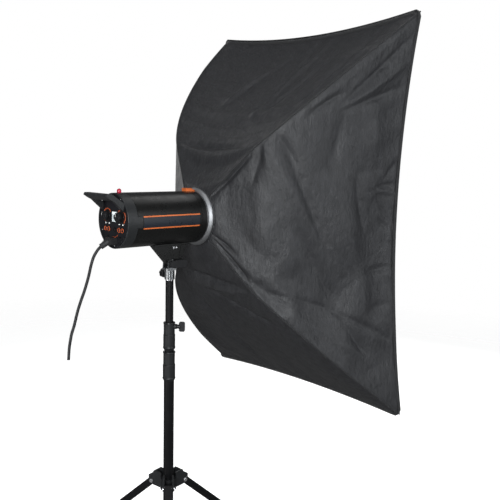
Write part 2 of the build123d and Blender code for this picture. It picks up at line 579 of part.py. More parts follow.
def cooling_fan():
    fan = ring_y(12, PIN_R + RUN, (FAN_STATION - 7, FAN_STATION + 7))
    blade = Pos(0, y_at(FAN_STATION), z_at(26)) * Rot(0, 0, 35) * Box(15, 1.6, 34)
    axis = Axis((0, 0, FLASH_AXIS_Z), (0, 1, 0))
    for number in range(FAN_BLADES):
        fan += blade.rotate(axis, number * 360 / FAN_BLADES)
    return fan - bar_y(0, 0, PIN_R + RUN, (200, 260))


# --- softbox ---------------------------------------------------------------------------------------------
def rod_curve(t, inset=0.0):
    """(half width, half height, station) on the rods' curve: t is 0 at the kink and 1 at the corner."""
    weights = ((1 - t) ** 2, 2 * t * (1 - t), t * t)
    half_x = (KINK_HALF[0], ROD_CONTROL[0], SOFTBOX_HALF[0])
    half_z = (KINK_HALF[1], ROD_CONTROL[1], SOFTBOX_HALF[1])
    stations = (KINK_STATION, ROD_CONTROL_STATION, SOFTBOX_FRONT_STATION)
    mix = [sum(w * v for w, v in zip(weights, values)) for values in (half_x, half_z, stations)]
    return mix[0] - inset, mix[1] - inset, mix[2]


def section(half_x, half_z, station, bow):
    """Four-arc outline across the flash axis; bow is 0 at the back and 1 at the front edge."""
    y = y_at(station)
    side, top, bottom = 1 + bow * SIDE_BOW, 1 + bow * TOP_BOW, 1 + bow * BOTTOM_BOW
    corners = [(half_x, half_z), (-half_x, half_z), (-half_x, -half_z), (half_x, -half_z)]
    middles = [(0, half_z - top), (-half_x + side, 0), (0, -half_z + bottom), (half_x - side, 0)]
    edges = []
    for index, (x, z) in enumerate(corners):
        next_x, next_z = corners[(index + 1) % 4]
        mid_x, mid_z = middles[index]
        arc = ThreePointArc((x, y, z_at(z)), (mid_x, y, z_at(mid_z)), (next_x, y, z_at(next_z)))
        edges.append(arc)
    return make_face(Wire(edges))


def round_section(radius, station):
    """The round opening, split at the four rods so that it matches the other sections."""
    angle = atan2(KINK_HALF[1], KINK_HALF[0])
    x, z, y = radius * cos(angle), radius * sin(angle), y_at(station)
    corners = [(x, z), (-x, z), (-x, -z), (x, -z)]
    middles = [(0, radius), (-radius, 0), (0, -radius), (radius, 0)]
    edges = []
    for index, (cx, cz) in enumerate(corners):
        nx, nz = corners[(index + 1) % 4]
        mx, mz = middles[index]
        edges.append(ThreePointArc((cx, y, z_at(cz)), (mx, y, z_at(mz)), (nx, y, z_at(nz))))
    return make_face(Wire(edges))


def softbox_solid(inset, front):
    """Closed solid of the softbox, drawn in by inset, with its front edge at a station."""
    faces = [round_section(RING_OPENING_R - inset, RING_OPENING_STATION - inset)]
    for step in range(SHELL_STEPS):
        t = step / SHELL_STEPS
        half_x, half_z, station = rod_curve(t, inset)
        faces.append(section(half_x, half_z, station - inset * (1 - t), t ** 1.5))
    faces.append(section(SOFTBOX_HALF[0] - inset, SOFTBOX_HALF[1] - inset, front, 1.0))
    return loft(faces, ruled=True)


def build_softbox():
    shell_front = SOFTBOX_FRONT_STATION + BINDING_DEPTH
    inner = softbox_solid(SHELL_WALL, SOFTBOX_FRONT_STATION - 2)
    outer = softbox_solid(0, SOFTBOX_FRONT_STATION)
    mouth = bar_y(0, 0, RING_OPENING_R - SHELL_WALL, (RING_OPENING_STATION - 10, RING_OPENING_STATION + 10))
    skin = outer - inner - mouth
    in_front = block((-600, 600), (y_at(-500), y_at(shell_front)), (0, 2000))
    behind = block((-600, 600), (y_at(shell_front) - 0.05, y_at(100)), (0, 2000))
    save(skin - in_front, "softbox_shell")
    save(skin - behind, "edge_binding")
    save(front_panel(SHELL_WALL + 4.5, SOFTBOX_FRONT_STATION + 3, 1.5), "front_diffuser")
    half_x, half_z, station = rod_curve(0.55, 55)
    baffle_y = (y_at(station), y_at(station) + 1.2)
    save(block((-half_x, half_x), baffle_y, (z_at(-half_z), z_at(half_z))), "inner_baffle")
    rods = [rod(sx, sz) for sx in (-1, 1) for sz in (-1, 1)]
    save_group(rods, "support_rods")
    save(speedring(), "rod_ring")
    save(adapter_ring(), "adapter_ring")


def adapter_ring():
    """Drum on the front collar, with a rolled lip; its hub carries the speedring."""
    lip_start, lip_end = ADAPTER_LIP_STATIONS
    drum_r = ADAPTER_R - 2.2
    back = COLLAR_STATIONS[0] - 0.2
    profile = [(SPEEDRING_BORE_R, -10), (SPEEDRING_HUB_R, -10), (SPEEDRING_HUB_R, 9)]
    profile += [(drum_r, 9), (drum_r, lip_start - 1), (ADAPTER_R, lip_start), (ADAPTER_R, lip_end)]
    profile += [(drum_r, lip_end + 1), (drum_r, back), (SPEEDRING_BORE_R, back)]
    return turned_y(profile)


def front_panel(inset, station, thickness):
    """Sheet stretched across the front, cut off square at the corners, clear of the rods."""
    face = section(SOFTBOX_HALF[0] - inset, SOFTBOX_HALF[1] - inset, station, 1.0)
    return extrude(face, amount=thickness, dir=(0, -1, 0))


def rod_points(side_x, side_z):
    angle = atan2(KINK_HALF[1], KINK_HALF[0])
    start_x, start_z = side_x * ROD_START_R * cos(angle), side_z * ROD_START_R * sin(angle)
    points = [(start_x, y_at(ROD_START_STATION), z_at(start_z))]
    kink = (*KINK_HALF, KINK_STATION - ROD_LEAD[0])
    bend = (*ROD_CONTROL, ROD_CONTROL_STATION - ROD_LEAD[1])
    control = [a + ROD_REACH * (b - a) for a, b in zip(kink, bend)]
    for half_x, half_z, station in (kink, control, rod_curve(ROD_REACH)):
        points.append((side_x * (half_x - ROD_INSET), y_at(station), z_at(side_z * (half_z - ROD_INSET))))
    return points


def rod(side_x, side_z):
    """Spring rod: straight from the ring to the kink, then bent forward to the corner."""
    start, kink, control, tip = rod_points(side_x, side_z)
    bend = Bezier(kink, control, tip)
    spring = sweep(Plane(origin=kink, z_dir=bend % 0) * Circle(ROD_R), path=bend)
    return bar(start, kink, ROD_R) + Pos(*kink) * Sphere(ROD_R + 0.7) + spring


def speedring():
    """Ring that turns on the adapter's hub, with a socket for each rod."""
    ring = ring_y(SPEEDRING_R, SPEEDRING_HUB_R + RUN, (-9.5, 8.5))
    for start, way in rod_starts():
        ring += bar(start + way * 12, start + way * 34, ROD_SOCKET_R)
    ring -= bar_y(0, 0, SPEEDRING_HUB_R + RUN, (-40, 30))
    for start, way in rod_starts():
        ring -= bar(start - way * 3, start + way * 60, ROD_R + GAP)
    return ring


def rod_starts():
    """Start point and direction of each rod's straight part."""
    starts = []
    for side_x in (-1, 1):
        for side_z in (-1, 1):
            start, kink, _, _ = rod_points(side_x, side_z)
            starts.append((Vector(*start), (Vector(*kink) - Vector(*start)).normalized()))
    return starts


build_column()
build_tripod()
build_tilt_head()
build_flash_shell()
build_rear_panel()
build_mains_lead()
build_flash_inside()
build_softbox()
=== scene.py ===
import json
import math

import bmesh
import bpy
import numpy as np
from mathutils import Matrix, Vector, noise


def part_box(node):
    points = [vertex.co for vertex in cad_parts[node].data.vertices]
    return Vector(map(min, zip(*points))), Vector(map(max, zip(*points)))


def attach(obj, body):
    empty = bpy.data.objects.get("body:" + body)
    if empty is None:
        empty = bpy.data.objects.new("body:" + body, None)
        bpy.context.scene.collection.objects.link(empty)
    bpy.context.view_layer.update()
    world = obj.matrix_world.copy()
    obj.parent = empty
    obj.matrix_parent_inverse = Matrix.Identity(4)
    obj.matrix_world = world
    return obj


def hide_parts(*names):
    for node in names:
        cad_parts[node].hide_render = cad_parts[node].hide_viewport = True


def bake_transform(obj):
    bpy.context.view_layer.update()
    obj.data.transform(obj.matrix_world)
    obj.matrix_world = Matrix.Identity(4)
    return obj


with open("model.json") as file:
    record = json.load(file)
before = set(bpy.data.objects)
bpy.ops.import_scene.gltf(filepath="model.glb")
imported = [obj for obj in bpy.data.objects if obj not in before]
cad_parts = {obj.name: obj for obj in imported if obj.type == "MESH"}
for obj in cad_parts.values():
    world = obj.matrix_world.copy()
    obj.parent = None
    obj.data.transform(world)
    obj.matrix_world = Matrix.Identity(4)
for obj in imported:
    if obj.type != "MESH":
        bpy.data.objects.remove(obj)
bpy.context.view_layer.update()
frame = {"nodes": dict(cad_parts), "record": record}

# A studio softbox on a flash head and a light stand. The imported nodes stay as they are and take materials;
# cloth, a curved lead and printed details are added. Metres, +Z up; the softbox faces -Y.

MM = 0.001

# --- places, read from the frame ---
housing_low, housing_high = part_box("main_housing")
binding_low, binding_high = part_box("edge_binding")
_, shell_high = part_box("softbox_shell")
_, panel_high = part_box("control_panel")
_, adapter_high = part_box("adapter_ring")

HEAD_R = housing_high.x
AXIS_Z = (housing_low.z + housing_high.z) / 2
FRONT_Y = binding_low.y
BACK_Y = shell_high.y
HALF_X = binding_high.x
HALF_Z = (binding_high.z - binding_low.z) / 2
DEPTH = BACK_Y - FRONT_Y

OPENING_R = adapter_high.x + 3 * MM                     # round opening at the softbox's back
SIDE_BOW, TOP_BOW, BOTTOM_BOW = 44 * MM, 27 * MM, 14 * MM   # how far each front edge curves in
CORNER_RADIUS = 20 * MM
DIFFUSER_RECESS = 12 * MM                               # front cloth behind the front edge
LINING_GAP = 1.8 * MM
SOFTBOX_CENTRE = Vector((0, (FRONT_Y + BACK_Y) / 2, AXIS_Z))


def rod_place(width_share, height_share, depth_share):
    """(half width, half height, y) from shares of the softbox's half size and of its depth from the back."""
    return width_share * HALF_X, height_share * HALF_Z, BACK_Y - depth_share * DEPTH


KINK = rod_place(0.4114, 0.33, 0.1253)          # where the rods bend forward
CONTROL = rod_place(0.7514, 0.55, 0.2916)       # control point of the bend


# --- node helpers ---
NOISE_RANGE = (0.3, 0.7)     # where most of a noise's values lie


class Tree:
    """Short way to build a node tree."""

    def __init__(self, tree):
        self.tree = tree
        self.tree.nodes.clear()

    def add(self, kind, **settings):
        node = self.tree.nodes.new(kind)
        for key, value in settings.items():
            setattr(node, key, value)
        return node

    def link(self, source, target):
        self.tree.links.new(source, target)

    def ramp(self, value, start, end, low, high):
        """value, mapped from start..end to low..high."""
        node = self.add("ShaderNodeMapRange")
        for name, number in (("From Min", start), ("From Max", end), ("To Min", low), ("To Max", high)):
            node.inputs[name].default_value = number
        self.link(value, node.inputs["Value"])
        return node.outputs[0]

    def glow(self, kind, color, strength):
        node = self.add(kind)
        node.inputs["Color"].default_value = (*color, 1)
        node.inputs["Strength"].default_value = strength
        return node

    def choose(self, factor, first, second):
        """Shader that is first where factor is 0 and second where it is 1."""
        node = self.add("ShaderNodeMixShader")
        for socket, source in zip(node.inputs, (factor, first.outputs[0], second.outputs[0])):
            self.link(source, socket)
        return node


class Nodes(Tree):
    """A node material with one principled shader, placed by object coordinates."""

    def __init__(self, name):
        self.material = bpy.data.materials.new(name)
        self.material.use_nodes = True
        super().__init__(self.material.node_tree)
        self.shader = self.add("ShaderNodeBsdfPrincipled")
        self.output = self.add("ShaderNodeOutputMaterial")
        self.link(self.shader.outputs[0], self.output.inputs[0])
        self.position = self.add("ShaderNodeTexCoord").outputs["Object"]

    def set(self, **values):
        for key, value in values.items():
            self.shader.inputs[key.replace("_", " ")].default_value = value

    def scaled(self, scale):
        """Object coordinates, stretched by a factor per axis."""
        mapping = self.add("ShaderNodeMapping")
        mapping.inputs["Scale"].default_value = scale
        self.link(self.position, mapping.inputs["Vector"])
        return mapping.outputs[0]

    def noise(self, scale, detail, rough, stretch=(1, 1, 1)):
        """Fractal noise with scale features to the metre; stretch crowds them along an axis."""
        texture = self.add("ShaderNodeTexNoise")
        texture.inputs["Scale"].default_value = scale
        texture.inputs["Detail"].default_value = detail
        texture.inputs["Roughness"].default_value = rough
        self.link(self.scaled(stretch), texture.inputs["Vector"])
        return texture.outputs["Fac"]

    def wave(self, scale, direction):
        texture = self.add("ShaderNodeTexWave", bands_direction=direction)
        texture.inputs["Scale"].default_value = scale
        texture.inputs["Distortion"].default_value = 0.0
        self.link(self.position, texture.inputs["Vector"])
        return texture.outputs["Fac"]

    def spread(self, value, low, high):
        """Noise, mapped from its usual range to low..high."""
        return self.ramp(value, *NOISE_RANGE, low, high)

    def math(self, operation, a, b):
        node = self.add("ShaderNodeMath", operation=operation)
        for socket, value in zip(node.inputs, (a, b)):
            if isinstance(value, (int, float)):
                socket.default_value = value
            else:
                self.link(value, socket)
        return node.outputs[0]

    def mix(self, factor, a, b):
        node = self.add("ShaderNodeMix", data_type="RGBA")
        for socket, value in ((node.inputs[0], factor), (node.inputs[6], a), (node.inputs[7], b)):
            if isinstance(value, (int, float)):
                socket.default_value = value
            elif isinstance(value, tuple):
                socket.default_value = (*value, 1.0)
            else:
                self.link(value, socket)
        return node.outputs[2]

    def color(self, socket):
        self.link(socket, self.shader.inputs["Base Color"])

    def roughness(self, socket):
        self.link(socket, self.shader.inputs["Roughness"])

    def bump(self, height, strength, distance, normal=None):
        node = self.add("ShaderNodeBump")
        node.inputs["Strength"].default_value = strength
        node.inputs["Distance"].default_value = distance
        self.link(height, node.inputs["Height"])
        if normal is not None:
            self.link(normal, node.inputs["Normal"])
        self.link(node.outputs[0], self.shader.inputs["Normal"])
        return node.outputs[0]

    def rounded(self, radius):
        """Shading normal with a small edge radius."""
        node = self.add("ShaderNodeBevel", samples=4)
        node.inputs["Radius"].default_value = radius
        return node.outputs[0]


# --- materials ---
def shade(color, share):
    return tuple(c * share for c in color)


def paint(name, color, rough, grain=0.25, edge=0.6, gloss=0.26):
    """Powder coat or satin paint: fine orange peel, cloudy gloss and softened edges."""
    n = Nodes(name)
    cloud = n.noise(18, 4, 0.6)
    n.color(n.mix(cloud, shade(color, 0.8), shade(color, 1.25)))
    n.roughness(n.spread(n.noise(60, 5, 0.65), rough - 0.06, rough + 0.08))
    n.bump(n.noise(1400, 2, 0.5), grain, 0.02 * MM, n.rounded(edge * MM) if edge else None)
    n.set(Specular_IOR_Level=gloss)
    return n.material


def plastic(name, color, rough, grain=0.5):
    """Moulded plastic with a spark-eroded grain."""
    n = Nodes(name)
    cloud = n.noise(25, 3, 0.5)
    n.color(n.mix(cloud, shade(color, 0.88), shade(color, 1.12)))
    n.roughness(n.spread(n.noise(90, 4, 0.6), rough - 0.05, rough + 0.07))
    cells = n.add("ShaderNodeTexVoronoi")
    cells.inputs["Scale"].default_value = 1600
    n.link(n.position, cells.inputs["Vector"])
    n.bump(cells.outputs["Distance"], grain, 0.03 * MM, n.rounded(0.6 * MM))
    n.set(Specular_IOR_Level=0.3)
    return n.material


def metal(name, color, rough, stretch, brushed=0.35):
    """Bare metal, brushed or turned along the given stretch."""
    n = Nodes(name)
    lines = n.noise(220, 5, 0.7, stretch)
    n.color(n.mix(lines, shade(color, 0.85), color))
    n.roughness(n.spread(lines, rough - 0.08, rough + 0.1))
    n.bump(lines, brushed, 0.02 * MM)
    n.set(Metallic=1.0)
    return n.material


def black_cloth(name, color):
    """Coated polyester: a fine plain weave, slubs and lint along it, and soft crumples of all sizes."""
    n = Nodes(name)
    cloud = n.noise(7, 5, 0.62)
    lint = n.spread(n.noise(75, 5, 0.75, (1.0, 1.0, 0.4)), 0.0, 1.0)
    tone = n.mix(cloud, shade(color, 0.6), shade(color, 0.95))
    n.color(n.mix(lint, tone, shade(color, 1.5)))
    n.roughness(n.spread(n.noise(40, 5, 0.7), 0.46, 0.6))
    ridge = n.math("ABSOLUTE", n.math("SUBTRACT", n.noise(17, 2, 0.5, (0.8, 1.0, 1.0)), 0.5), 0)
    crease = n.math("MINIMUM", n.math("MULTIPLY", ridge, 9.0), 1.0)
    where = n.spread(n.noise(5, 2, 0.5), -0.6, 1.0)
    crease = n.math("MULTIPLY", n.math("SUBTRACT", crease, 1.0), n.math("MAXIMUM", where, 0.0))
    along, across = n.noise(30, 2, 0.5, (60.0, 60.0, 0.5)), n.noise(30, 2, 0.5, (0.5, 0.5, 60.0))
    weave = n.math("MULTIPLY", n.wave(1900, "Z"), n.wave(1900, "X"))
    layers = [           # height, strength and depth in millimetres, from the widest crumples to the weave
        (n.noise(13, 5, 0.55, (1.0, 0.9, 0.7)), 0.6, 5.0),
        (n.noise(60, 5, 0.6, (1.0, 1.0, 0.6)), 0.6, 3.2),
        (n.noise(130, 4, 0.65, (1.0, 1.0, 0.45)), 0.8, 2.4),
        (crease, 0.5, 1.6),
        (n.math("ADD", along, across), 0.3, 0.12),
        (weave, 0.25, 0.06),
    ]
    normal = None
    for height, strength, depth in layers:
        normal = n.bump(height, strength, depth * MM, normal)
    n.set(Specular_IOR_Level=0.4)
    return n.material


def webbing(name, color):
    """Grosgrain tape: close ribs and a slight nap."""
    n = Nodes(name)
    ribs = n.math("MAXIMUM", n.wave(900, "Z"), n.wave(900, "X"))
    n.color(n.mix(n.noise(40, 4, 0.6), shade(color, 0.7), shade(color, 1.3)))
    n.roughness(n.spread(n.noise(150, 3, 0.5), 0.6, 0.8))
    n.bump(ribs, 0.5, 0.25 * MM)
    n.set(Sheen_Weight=0.1)
    return n.material


def white_cloth(name):
    """Diffusion cloth: a close white weave with soft crumples."""
    n = Nodes(name)
    weave = n.math("MULTIPLY", n.wave(1500, "Z"), n.wave(1500, "X"))
    n.color(n.mix(n.noise(9, 5, 0.6), (0.8, 0.8, 0.78), (0.88, 0.88, 0.87)))
    n.roughness(n.spread(n.noise(80, 3, 0.5), 0.7, 0.9))
    soft = n.bump(n.noise(14, 5, 0.6), 0.3, 3.0 * MM)
    n.bump(weave, 0.3, 0.08 * MM, soft)
    n.set(Sheen_Weight=0.2)
    return n.material


def silver_cloth(name):
    n = Nodes(name)
    n.color(n.mix(n.noise(20, 5, 0.6), (0.62, 0.62, 0.64), (0.8, 0.8, 0.82)))
    n.roughness(n.spread(n.noise(120, 5, 0.7), 0.3, 0.5))
    n.bump(n.noise(60, 5, 0.7), 0.5, 1.5 * MM)
    n.set(Metallic=0.85)
    return n.material


def rubber(name, color):
    n = Nodes(name)
    n.color(n.mix(n.noise(35, 4, 0.6), shade(color, 0.8), shade(color, 1.35)))
    n.roughness(n.spread(n.noise(90, 4, 0.6), 0.55, 0.75))
    n.bump(n.noise(900, 3, 0.5), 0.35, 0.05 * MM)
    return n.material


def clear(name, color, rough, alpha=0.35):
    """Glass or a lens: tinted, with fine dust in its gloss."""
    n = Nodes(name)
    n.color(n.mix(n.noise(50, 3, 0.5), shade(color, 0.9), color))
    n.roughness(n.spread(n.noise(200, 3, 0.5), rough, rough + 0.08))
    n.set(Transmission_Weight=1.0 - alpha, IOR=1.45)
    return n.material


def lit_window(name, color):
    """Pale window, lit a little from within."""
    n = Nodes(name)
    tone = n.mix(n.noise(300, 2, 0.5), shade(color, 0.93), color)
    n.color(tone)
    n.roughness(n.spread(n.noise(60, 3, 0.5), 0.12, 0.2))
    n.link(tone, n.shader.inputs["Emission Color"])
    n.set(Emission_Strength=0.35, Coat_Weight=0.6)
    return n.material


def make_materials():
    """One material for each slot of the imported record."""
    return {
        "black_paint": paint("black_paint", (0.0045, 0.0045, 0.005), 0.38, gloss=0.17),
        "collar_plastic": plastic("collar_plastic", (0.0105, 0.0112, 0.0122), 0.44),
        "knob_plastic": plastic("knob_plastic", (0.009, 0.009, 0.01), 0.4),
        "black_rubber": rubber("black_rubber", (0.011, 0.011, 0.012)),
        "bright_steel": metal("bright_steel", (0.86, 0.86, 0.88), 0.2, (1, 1, 1), 0.1),
        "zinc_metal": metal("zinc_metal", (0.42, 0.43, 0.44), 0.26, (1, 1, 0.06), 0.06),
        "housing_paint": paint("housing_paint", (0.006, 0.006, 0.0058), 0.3, 0.3, 0),
        "cover_plastic": plastic("cover_plastic", (0.016, 0.017, 0.018), 0.4),
        "orange_trim": plastic("orange_trim", (0.56, 0.13, 0.032), 0.34, 0.15),
        "red_lens": clear("red_lens", (0.62, 0.02, 0.06), 0.12, 0.6),
        "panel_plastic": plastic("panel_plastic", (0.009, 0.009, 0.011), 0.34, 0.3),
        "display_face": lit_window("display_face", (0.78, 0.84, 0.85)),
        "white_lamp": lit_window("white_lamp", (0.9, 0.9, 0.88)),
        "cast_aluminium": metal("cast_aluminium", (0.26, 0.265, 0.27), 0.3, (1, 6, 1), 0.1),
        "lamp_glass": clear("lamp_glass", (0.95, 0.95, 0.93), 0.05),
        "reflector_silver": metal("reflector_silver", (0.85, 0.85, 0.86), 0.15, (1, 1, 1), 0.05),
        "capacitor_sleeve": plastic("capacitor_sleeve", (0.04, 0.07, 0.2), 0.25, 0.1),
        "board_green": plastic("board_green", (0.015, 0.1, 0.04), 0.4, 0.3),
        "black_fabric": black_cloth("black_fabric", (0.0185, 0.0186, 0.0202)),
        "black_webbing": webbing("black_webbing", (0.009, 0.009, 0.01)),
        "white_fabric": white_cloth("white_fabric"),
        "rod_steel": metal("rod_steel", (0.4, 0.4, 0.42), 0.35, (1, 1, 0.1)),
    }


def finish_cad_nodes(materials):
    """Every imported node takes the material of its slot."""
    for entry in frame["record"]["subparts"]:
        node = frame["nodes"][entry["node"]]
        node.data.materials.clear()
        node.data.materials.append(materials[entry["material_slot"]])


# --- mesh helpers ---
def make_piece(name, points, faces, material, body=None, smooth=True, thickness=0, replaced=None):
    """New piece from points and faces, thickened if asked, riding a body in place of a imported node."""
    mesh = bpy.data.meshes.new(name)
    mesh.from_pydata([tuple(p) for p in points], [], [tuple(f) for f in faces])
    mesh.validate()
    mesh.update()
    if smooth:
        mesh.shade_smooth()
    piece = bpy.data.objects.new(name, mesh)
    bpy.context.scene.collection.objects.link(piece)
    mesh.materials.append(material)
    if thickness:
        piece.modifiers.new("thickness", "SOLIDIFY").thickness = thickness
        apply_modifiers(piece)
    if body:
        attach(piece, body)
    if replaced:
        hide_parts(replaced)
    return piece


def grid_faces(rows, columns, closed=False):
    """Quads of a grid stored row by row; closed joins the last column to the first."""
    faces = []
    for r in range(rows - 1):
        for c in range(columns if closed else columns - 1):
            a = r * columns + c
            b = r * columns + (c + 1) % columns
            faces.append((a, b, b + columns, a + columns))
    return faces


def loop_faces(rows, columns):
    """Quads of a grid that is closed both ways."""
    last = (rows - 1) * columns
    joins = [(k, (k + 1) % columns) for k in range(columns)]
    return grid_faces(rows, columns, True) + [(last + a, last + b, b, a) for a, b in joins]


def circle_point(radius, angle, y, x=0.0, z=AXIS_Z):
    """Point on a circle round a line along the flash axis."""
    return Vector((x + radius * math.cos(angle), y, z + radius * math.sin(angle)))


def turned_points(profile, sides, x=0.0, z=AXIS_Z, swell=lambda angle: 1.0):
    """Rows of points for a turned shape; profile holds (y, radius), and swell flutes it."""
    turns = [2 * math.pi * k / sides for k in range(sides)]
    return [circle_point(radius * swell(turn), turn, y, x, z) for y, radius in profile for turn in turns]


def tube_mesh(path, radius, sides=12, closed=False):
    """Points and faces of a round tube along a list of points; radius may be a list."""
    path = [Vector(p) for p in path]
    count = len(path)
    points = []
    normal = None
    for i, centre in enumerate(path):
        ahead = path[(i + 1) % count] if closed else path[min(i + 1, count - 1)]
        behind = path[i - 1] if closed or i else path[0]
        tangent = (ahead - behind).normalized()
        if normal is None:
            normal = tangent.orthogonal().normalized()
        normal = (normal - tangent * normal.dot(tangent)).normalized()
        side = tangent.cross(normal)
        r = radius[i] if isinstance(radius, (list, tuple)) else radius
        for k in range(sides):
            angle = 2 * math.pi * k / sides
            points.append(centre + (normal * math.cos(angle) + side * math.sin(angle)) * r)
    if closed:
        return points, loop_faces(count, sides)
    caps = [tuple(reversed(range(sides))), tuple(range((count - 1) * sides, count * sides))]
    return points, grid_faces(count, sides, True) + caps


def join_meshes(parts):
    """One point and face list from several."""
    points, faces = [], []
    for more_points, more_faces in parts:
        offset = len(points)
        points += list(more_points)
        faces += [tuple(i + offset for i in face) for face in more_faces]
    return points, faces


def apply_modifiers(piece):
    depsgraph = bpy.context.evaluated_depsgraph_get()
    mesh = bpy.data.meshes.new_from_object(piece.evaluated_get(depsgraph), depsgraph=depsgraph)
    piece.modifiers.clear()
    piece.data = mesh


def coordinates(mesh):
    co = np.zeros(len(mesh.vertices) * 3, np.float32)
    mesh.vertices.foreach_get("co", co)
    return co.reshape(-1, 3).astype(float)


def set_coordinates(mesh, co):
    mesh.vertices.foreach_set("co", co.astype(np.float32).ravel())
    mesh.update()


# --- softbox shape ---
SIDES = ("top", "near", "bottom", "far")     # in order round the softbox, seen from behind
COLUMNS = {"top": 30, "near": 42, "bottom": 30, "far": 42}
CONE_ROWS, BEND_ROWS = 9, 34
CONE_SHARE = CONE_ROWS / (CONE_ROWS + BEND_ROWS)
CORNER_SIGNS = {                             # x and z signs of the corners where a side starts and ends
    "top": ((1, 1), (-1, 1)),
    "near": ((-1, 1), (-1, -1)),
    "bottom": ((-1, -1), (1, -1)),
    "far": ((1, -1), (1, 1)),
}
INWARD = {"top": (0, -TOP_BOW), "near": (SIDE_BOW, 0), "bottom": (0, BOTTOM_BOW), "far": (-SIDE_BOW, 0)}


def round_corner(point, half_x, half_z, radius):
    """Draws a point near a corner of the cross-section onto the corner's arc."""
    dx, dz = abs(point.x) - half_x + radius, abs(point.z) - half_z + radius
    reach = math.hypot(dx, dz)
    if dx <= 0 or dz <= 0 or reach <= radius:
        return point
    x = half_x - radius + dx * radius / reach
    z = half_z - radius + dz * radius / reach
    return Vector((math.copysign(x, point.x), point.y, math.copysign(z, point.z)))


def rod_line(t):
    """(half width, half height, y) of a rod's seam from the kink at 0 to the corner at 1."""
    weights = ((1 - t) ** 2, 2 * t * (1 - t), t * t)
    corner = (HALF_X, HALF_Z, FRONT_Y)
    return [sum(w * v for w, v in zip(weights, values)) for values in zip(KINK, CONTROL, corner)]


def between_corners(side, half_x, half_z, y, across):
    """Point on the straight line between a side's two corners."""
    (x0, z0), (x1, z1) = CORNER_SIGNS[side]
    return Vector((x0 * half_x, y, z0 * half_z)).lerp(Vector((x1 * half_x, y, z1 * half_z)), across)


def cone_point(side, across, share):
    """Point between the round opening, at share 0, and the kink in the rods, at 1."""
    (x0, z0), (x1, z1) = CORNER_SIGNS[side]
    start = math.atan2(z0 * KINK[1], x0 * KINK[0])
    turn = (math.atan2(z1 * KINK[1], x1 * KINK[0]) - start) % (2 * math.pi)
    ring = circle_point(OPENING_R, start + turn * across, BACK_Y, z=0.0)
    return ring.lerp(between_corners(side, KINK[0], KINK[1], KINK[2], across), share)


def bend_point(side, across, t):
    """Point between the kink in the rods, at t 0, and the front edge, at 1."""
    half_x, half_z, y = rod_line(t)
    point = between_corners(side, half_x, half_z, y, across)
    bow = 4 * across * (1 - across) * t ** 1.5
    point += Vector((INWARD[side][0], 0, INWARD[side][1])) * bow
    return round_corner(point, half_x, half_z, CORNER_RADIUS * max(0.0, t * 4 - 3))


def skin_point(side, across, v):
    """Point of the tight skin: across runs 0 to 1 between two rods, v from 0 at the opening to 1 in front."""
    if v < CONE_SHARE:
        point = cone_point(side, across, v / CONE_SHARE)
    else:
        point = bend_point(side, across, (v - CONE_SHARE) / (1 - CONE_SHARE))
    return point + Vector((0, 0, AXIS_Z))


def rod_seam(side, count, lift):
    """Points along the seam over the rod at the start of a side, lifted off the skin."""
    (x, z), _ = CORNER_SIGNS[side]
    outward = Vector((x * 0.7, 0.35, z * 0.7)).normalized()
    return [skin_point(side, 0.0, i / count) + outward * lift for i in range(count + 1)]


def build_skin_grid():
    columns = [(side, c / COLUMNS[side]) for side in SIDES for c in range(COLUMNS[side])]
    rows = CONE_ROWS + BEND_ROWS + 1
    points = [skin_point(*column, r / (rows - 1)) for r in range(rows) for column in columns]
    return points, grid_faces(rows, len(columns), True), columns, rows


def pin_skin(piece, columns, rows):
    """The cloth is held at the opening, along the four rods and round the front edge."""
    group = piece.vertex_groups.new(name="held")
    count = len(columns)
    for r in range(rows):
        for c, (_, across) in enumerate(columns):
            if r == 0 or r == rows - 1 or across == 0.0:
                group.add([r * count + c], 1.0, "REPLACE")


SETTLE_FRAMES = 24
SPARE_CLOTH = 0.005      # share by which the cloth is larger than the tight skin


def settle_cloth(piece):
    """Lets the skin hang and buckle with a little spare cloth, then keeps the result."""
    cloth = piece.modifiers.new("settle", "CLOTH")
    settings = cloth.settings
    settings.quality = 6
    settings.mass = 0.12
    settings.tension_stiffness = 12
    settings.compression_stiffness = 12
    settings.shear_stiffness = 6
    settings.bending_stiffness = 1.5
    settings.vertex_group_mass = "held"
    settings.shrink_min = -SPARE_CLOTH
    settings.effector_weights.gravity = 0.35
    cloth.collision_settings.use_collision = False
    cloth.collision_settings.use_self_collision = False
    cloth.point_cache.frame_start = 1
    cloth.point_cache.frame_end = SETTLE_FRAMES
    scene = bpy.context.scene
    for number in range(1, SETTLE_FRAMES + 1):
        scene.frame_set(number)
    apply_modifiers(piece)
    scene.frame_set(1)


def crease_seams(mesh, columns):
    """Keeps the four rod seams sharp when the grid is subdivided."""
    creases = mesh.attributes.new("crease_edge", "FLOAT", "EDGE")
    count = len(columns)
    for edge in mesh.edges:
        a, b = edge.vertices
        on_rod = columns[a % count][1] == 0.0 and columns[b % count][1] == 0.0
        creases.data[edge.index].value = 1.0 if on_rod else 0.0


FOLD_DEPTH = 1.5         # multiplies the heights in FOLDS
FOLD_SHARPNESS = 1.5     # 2 is a smooth swell, 1 a knife edge
FOLD_TAPER = 1.1         # how gently a fold dies out at its ends
FOLD_STEPS = 8


def segment_distance(co, start, end):
    """Distance of each point from a segment, and where along it the nearest point lies."""
    a, d = np.array(start), np.array(end) - np.array(start)
    along = np.clip(((co - a) @ d) / (d @ d), 0, 1)
    return np.linalg.norm(co - (a + along[:, None] * d), axis=1), along


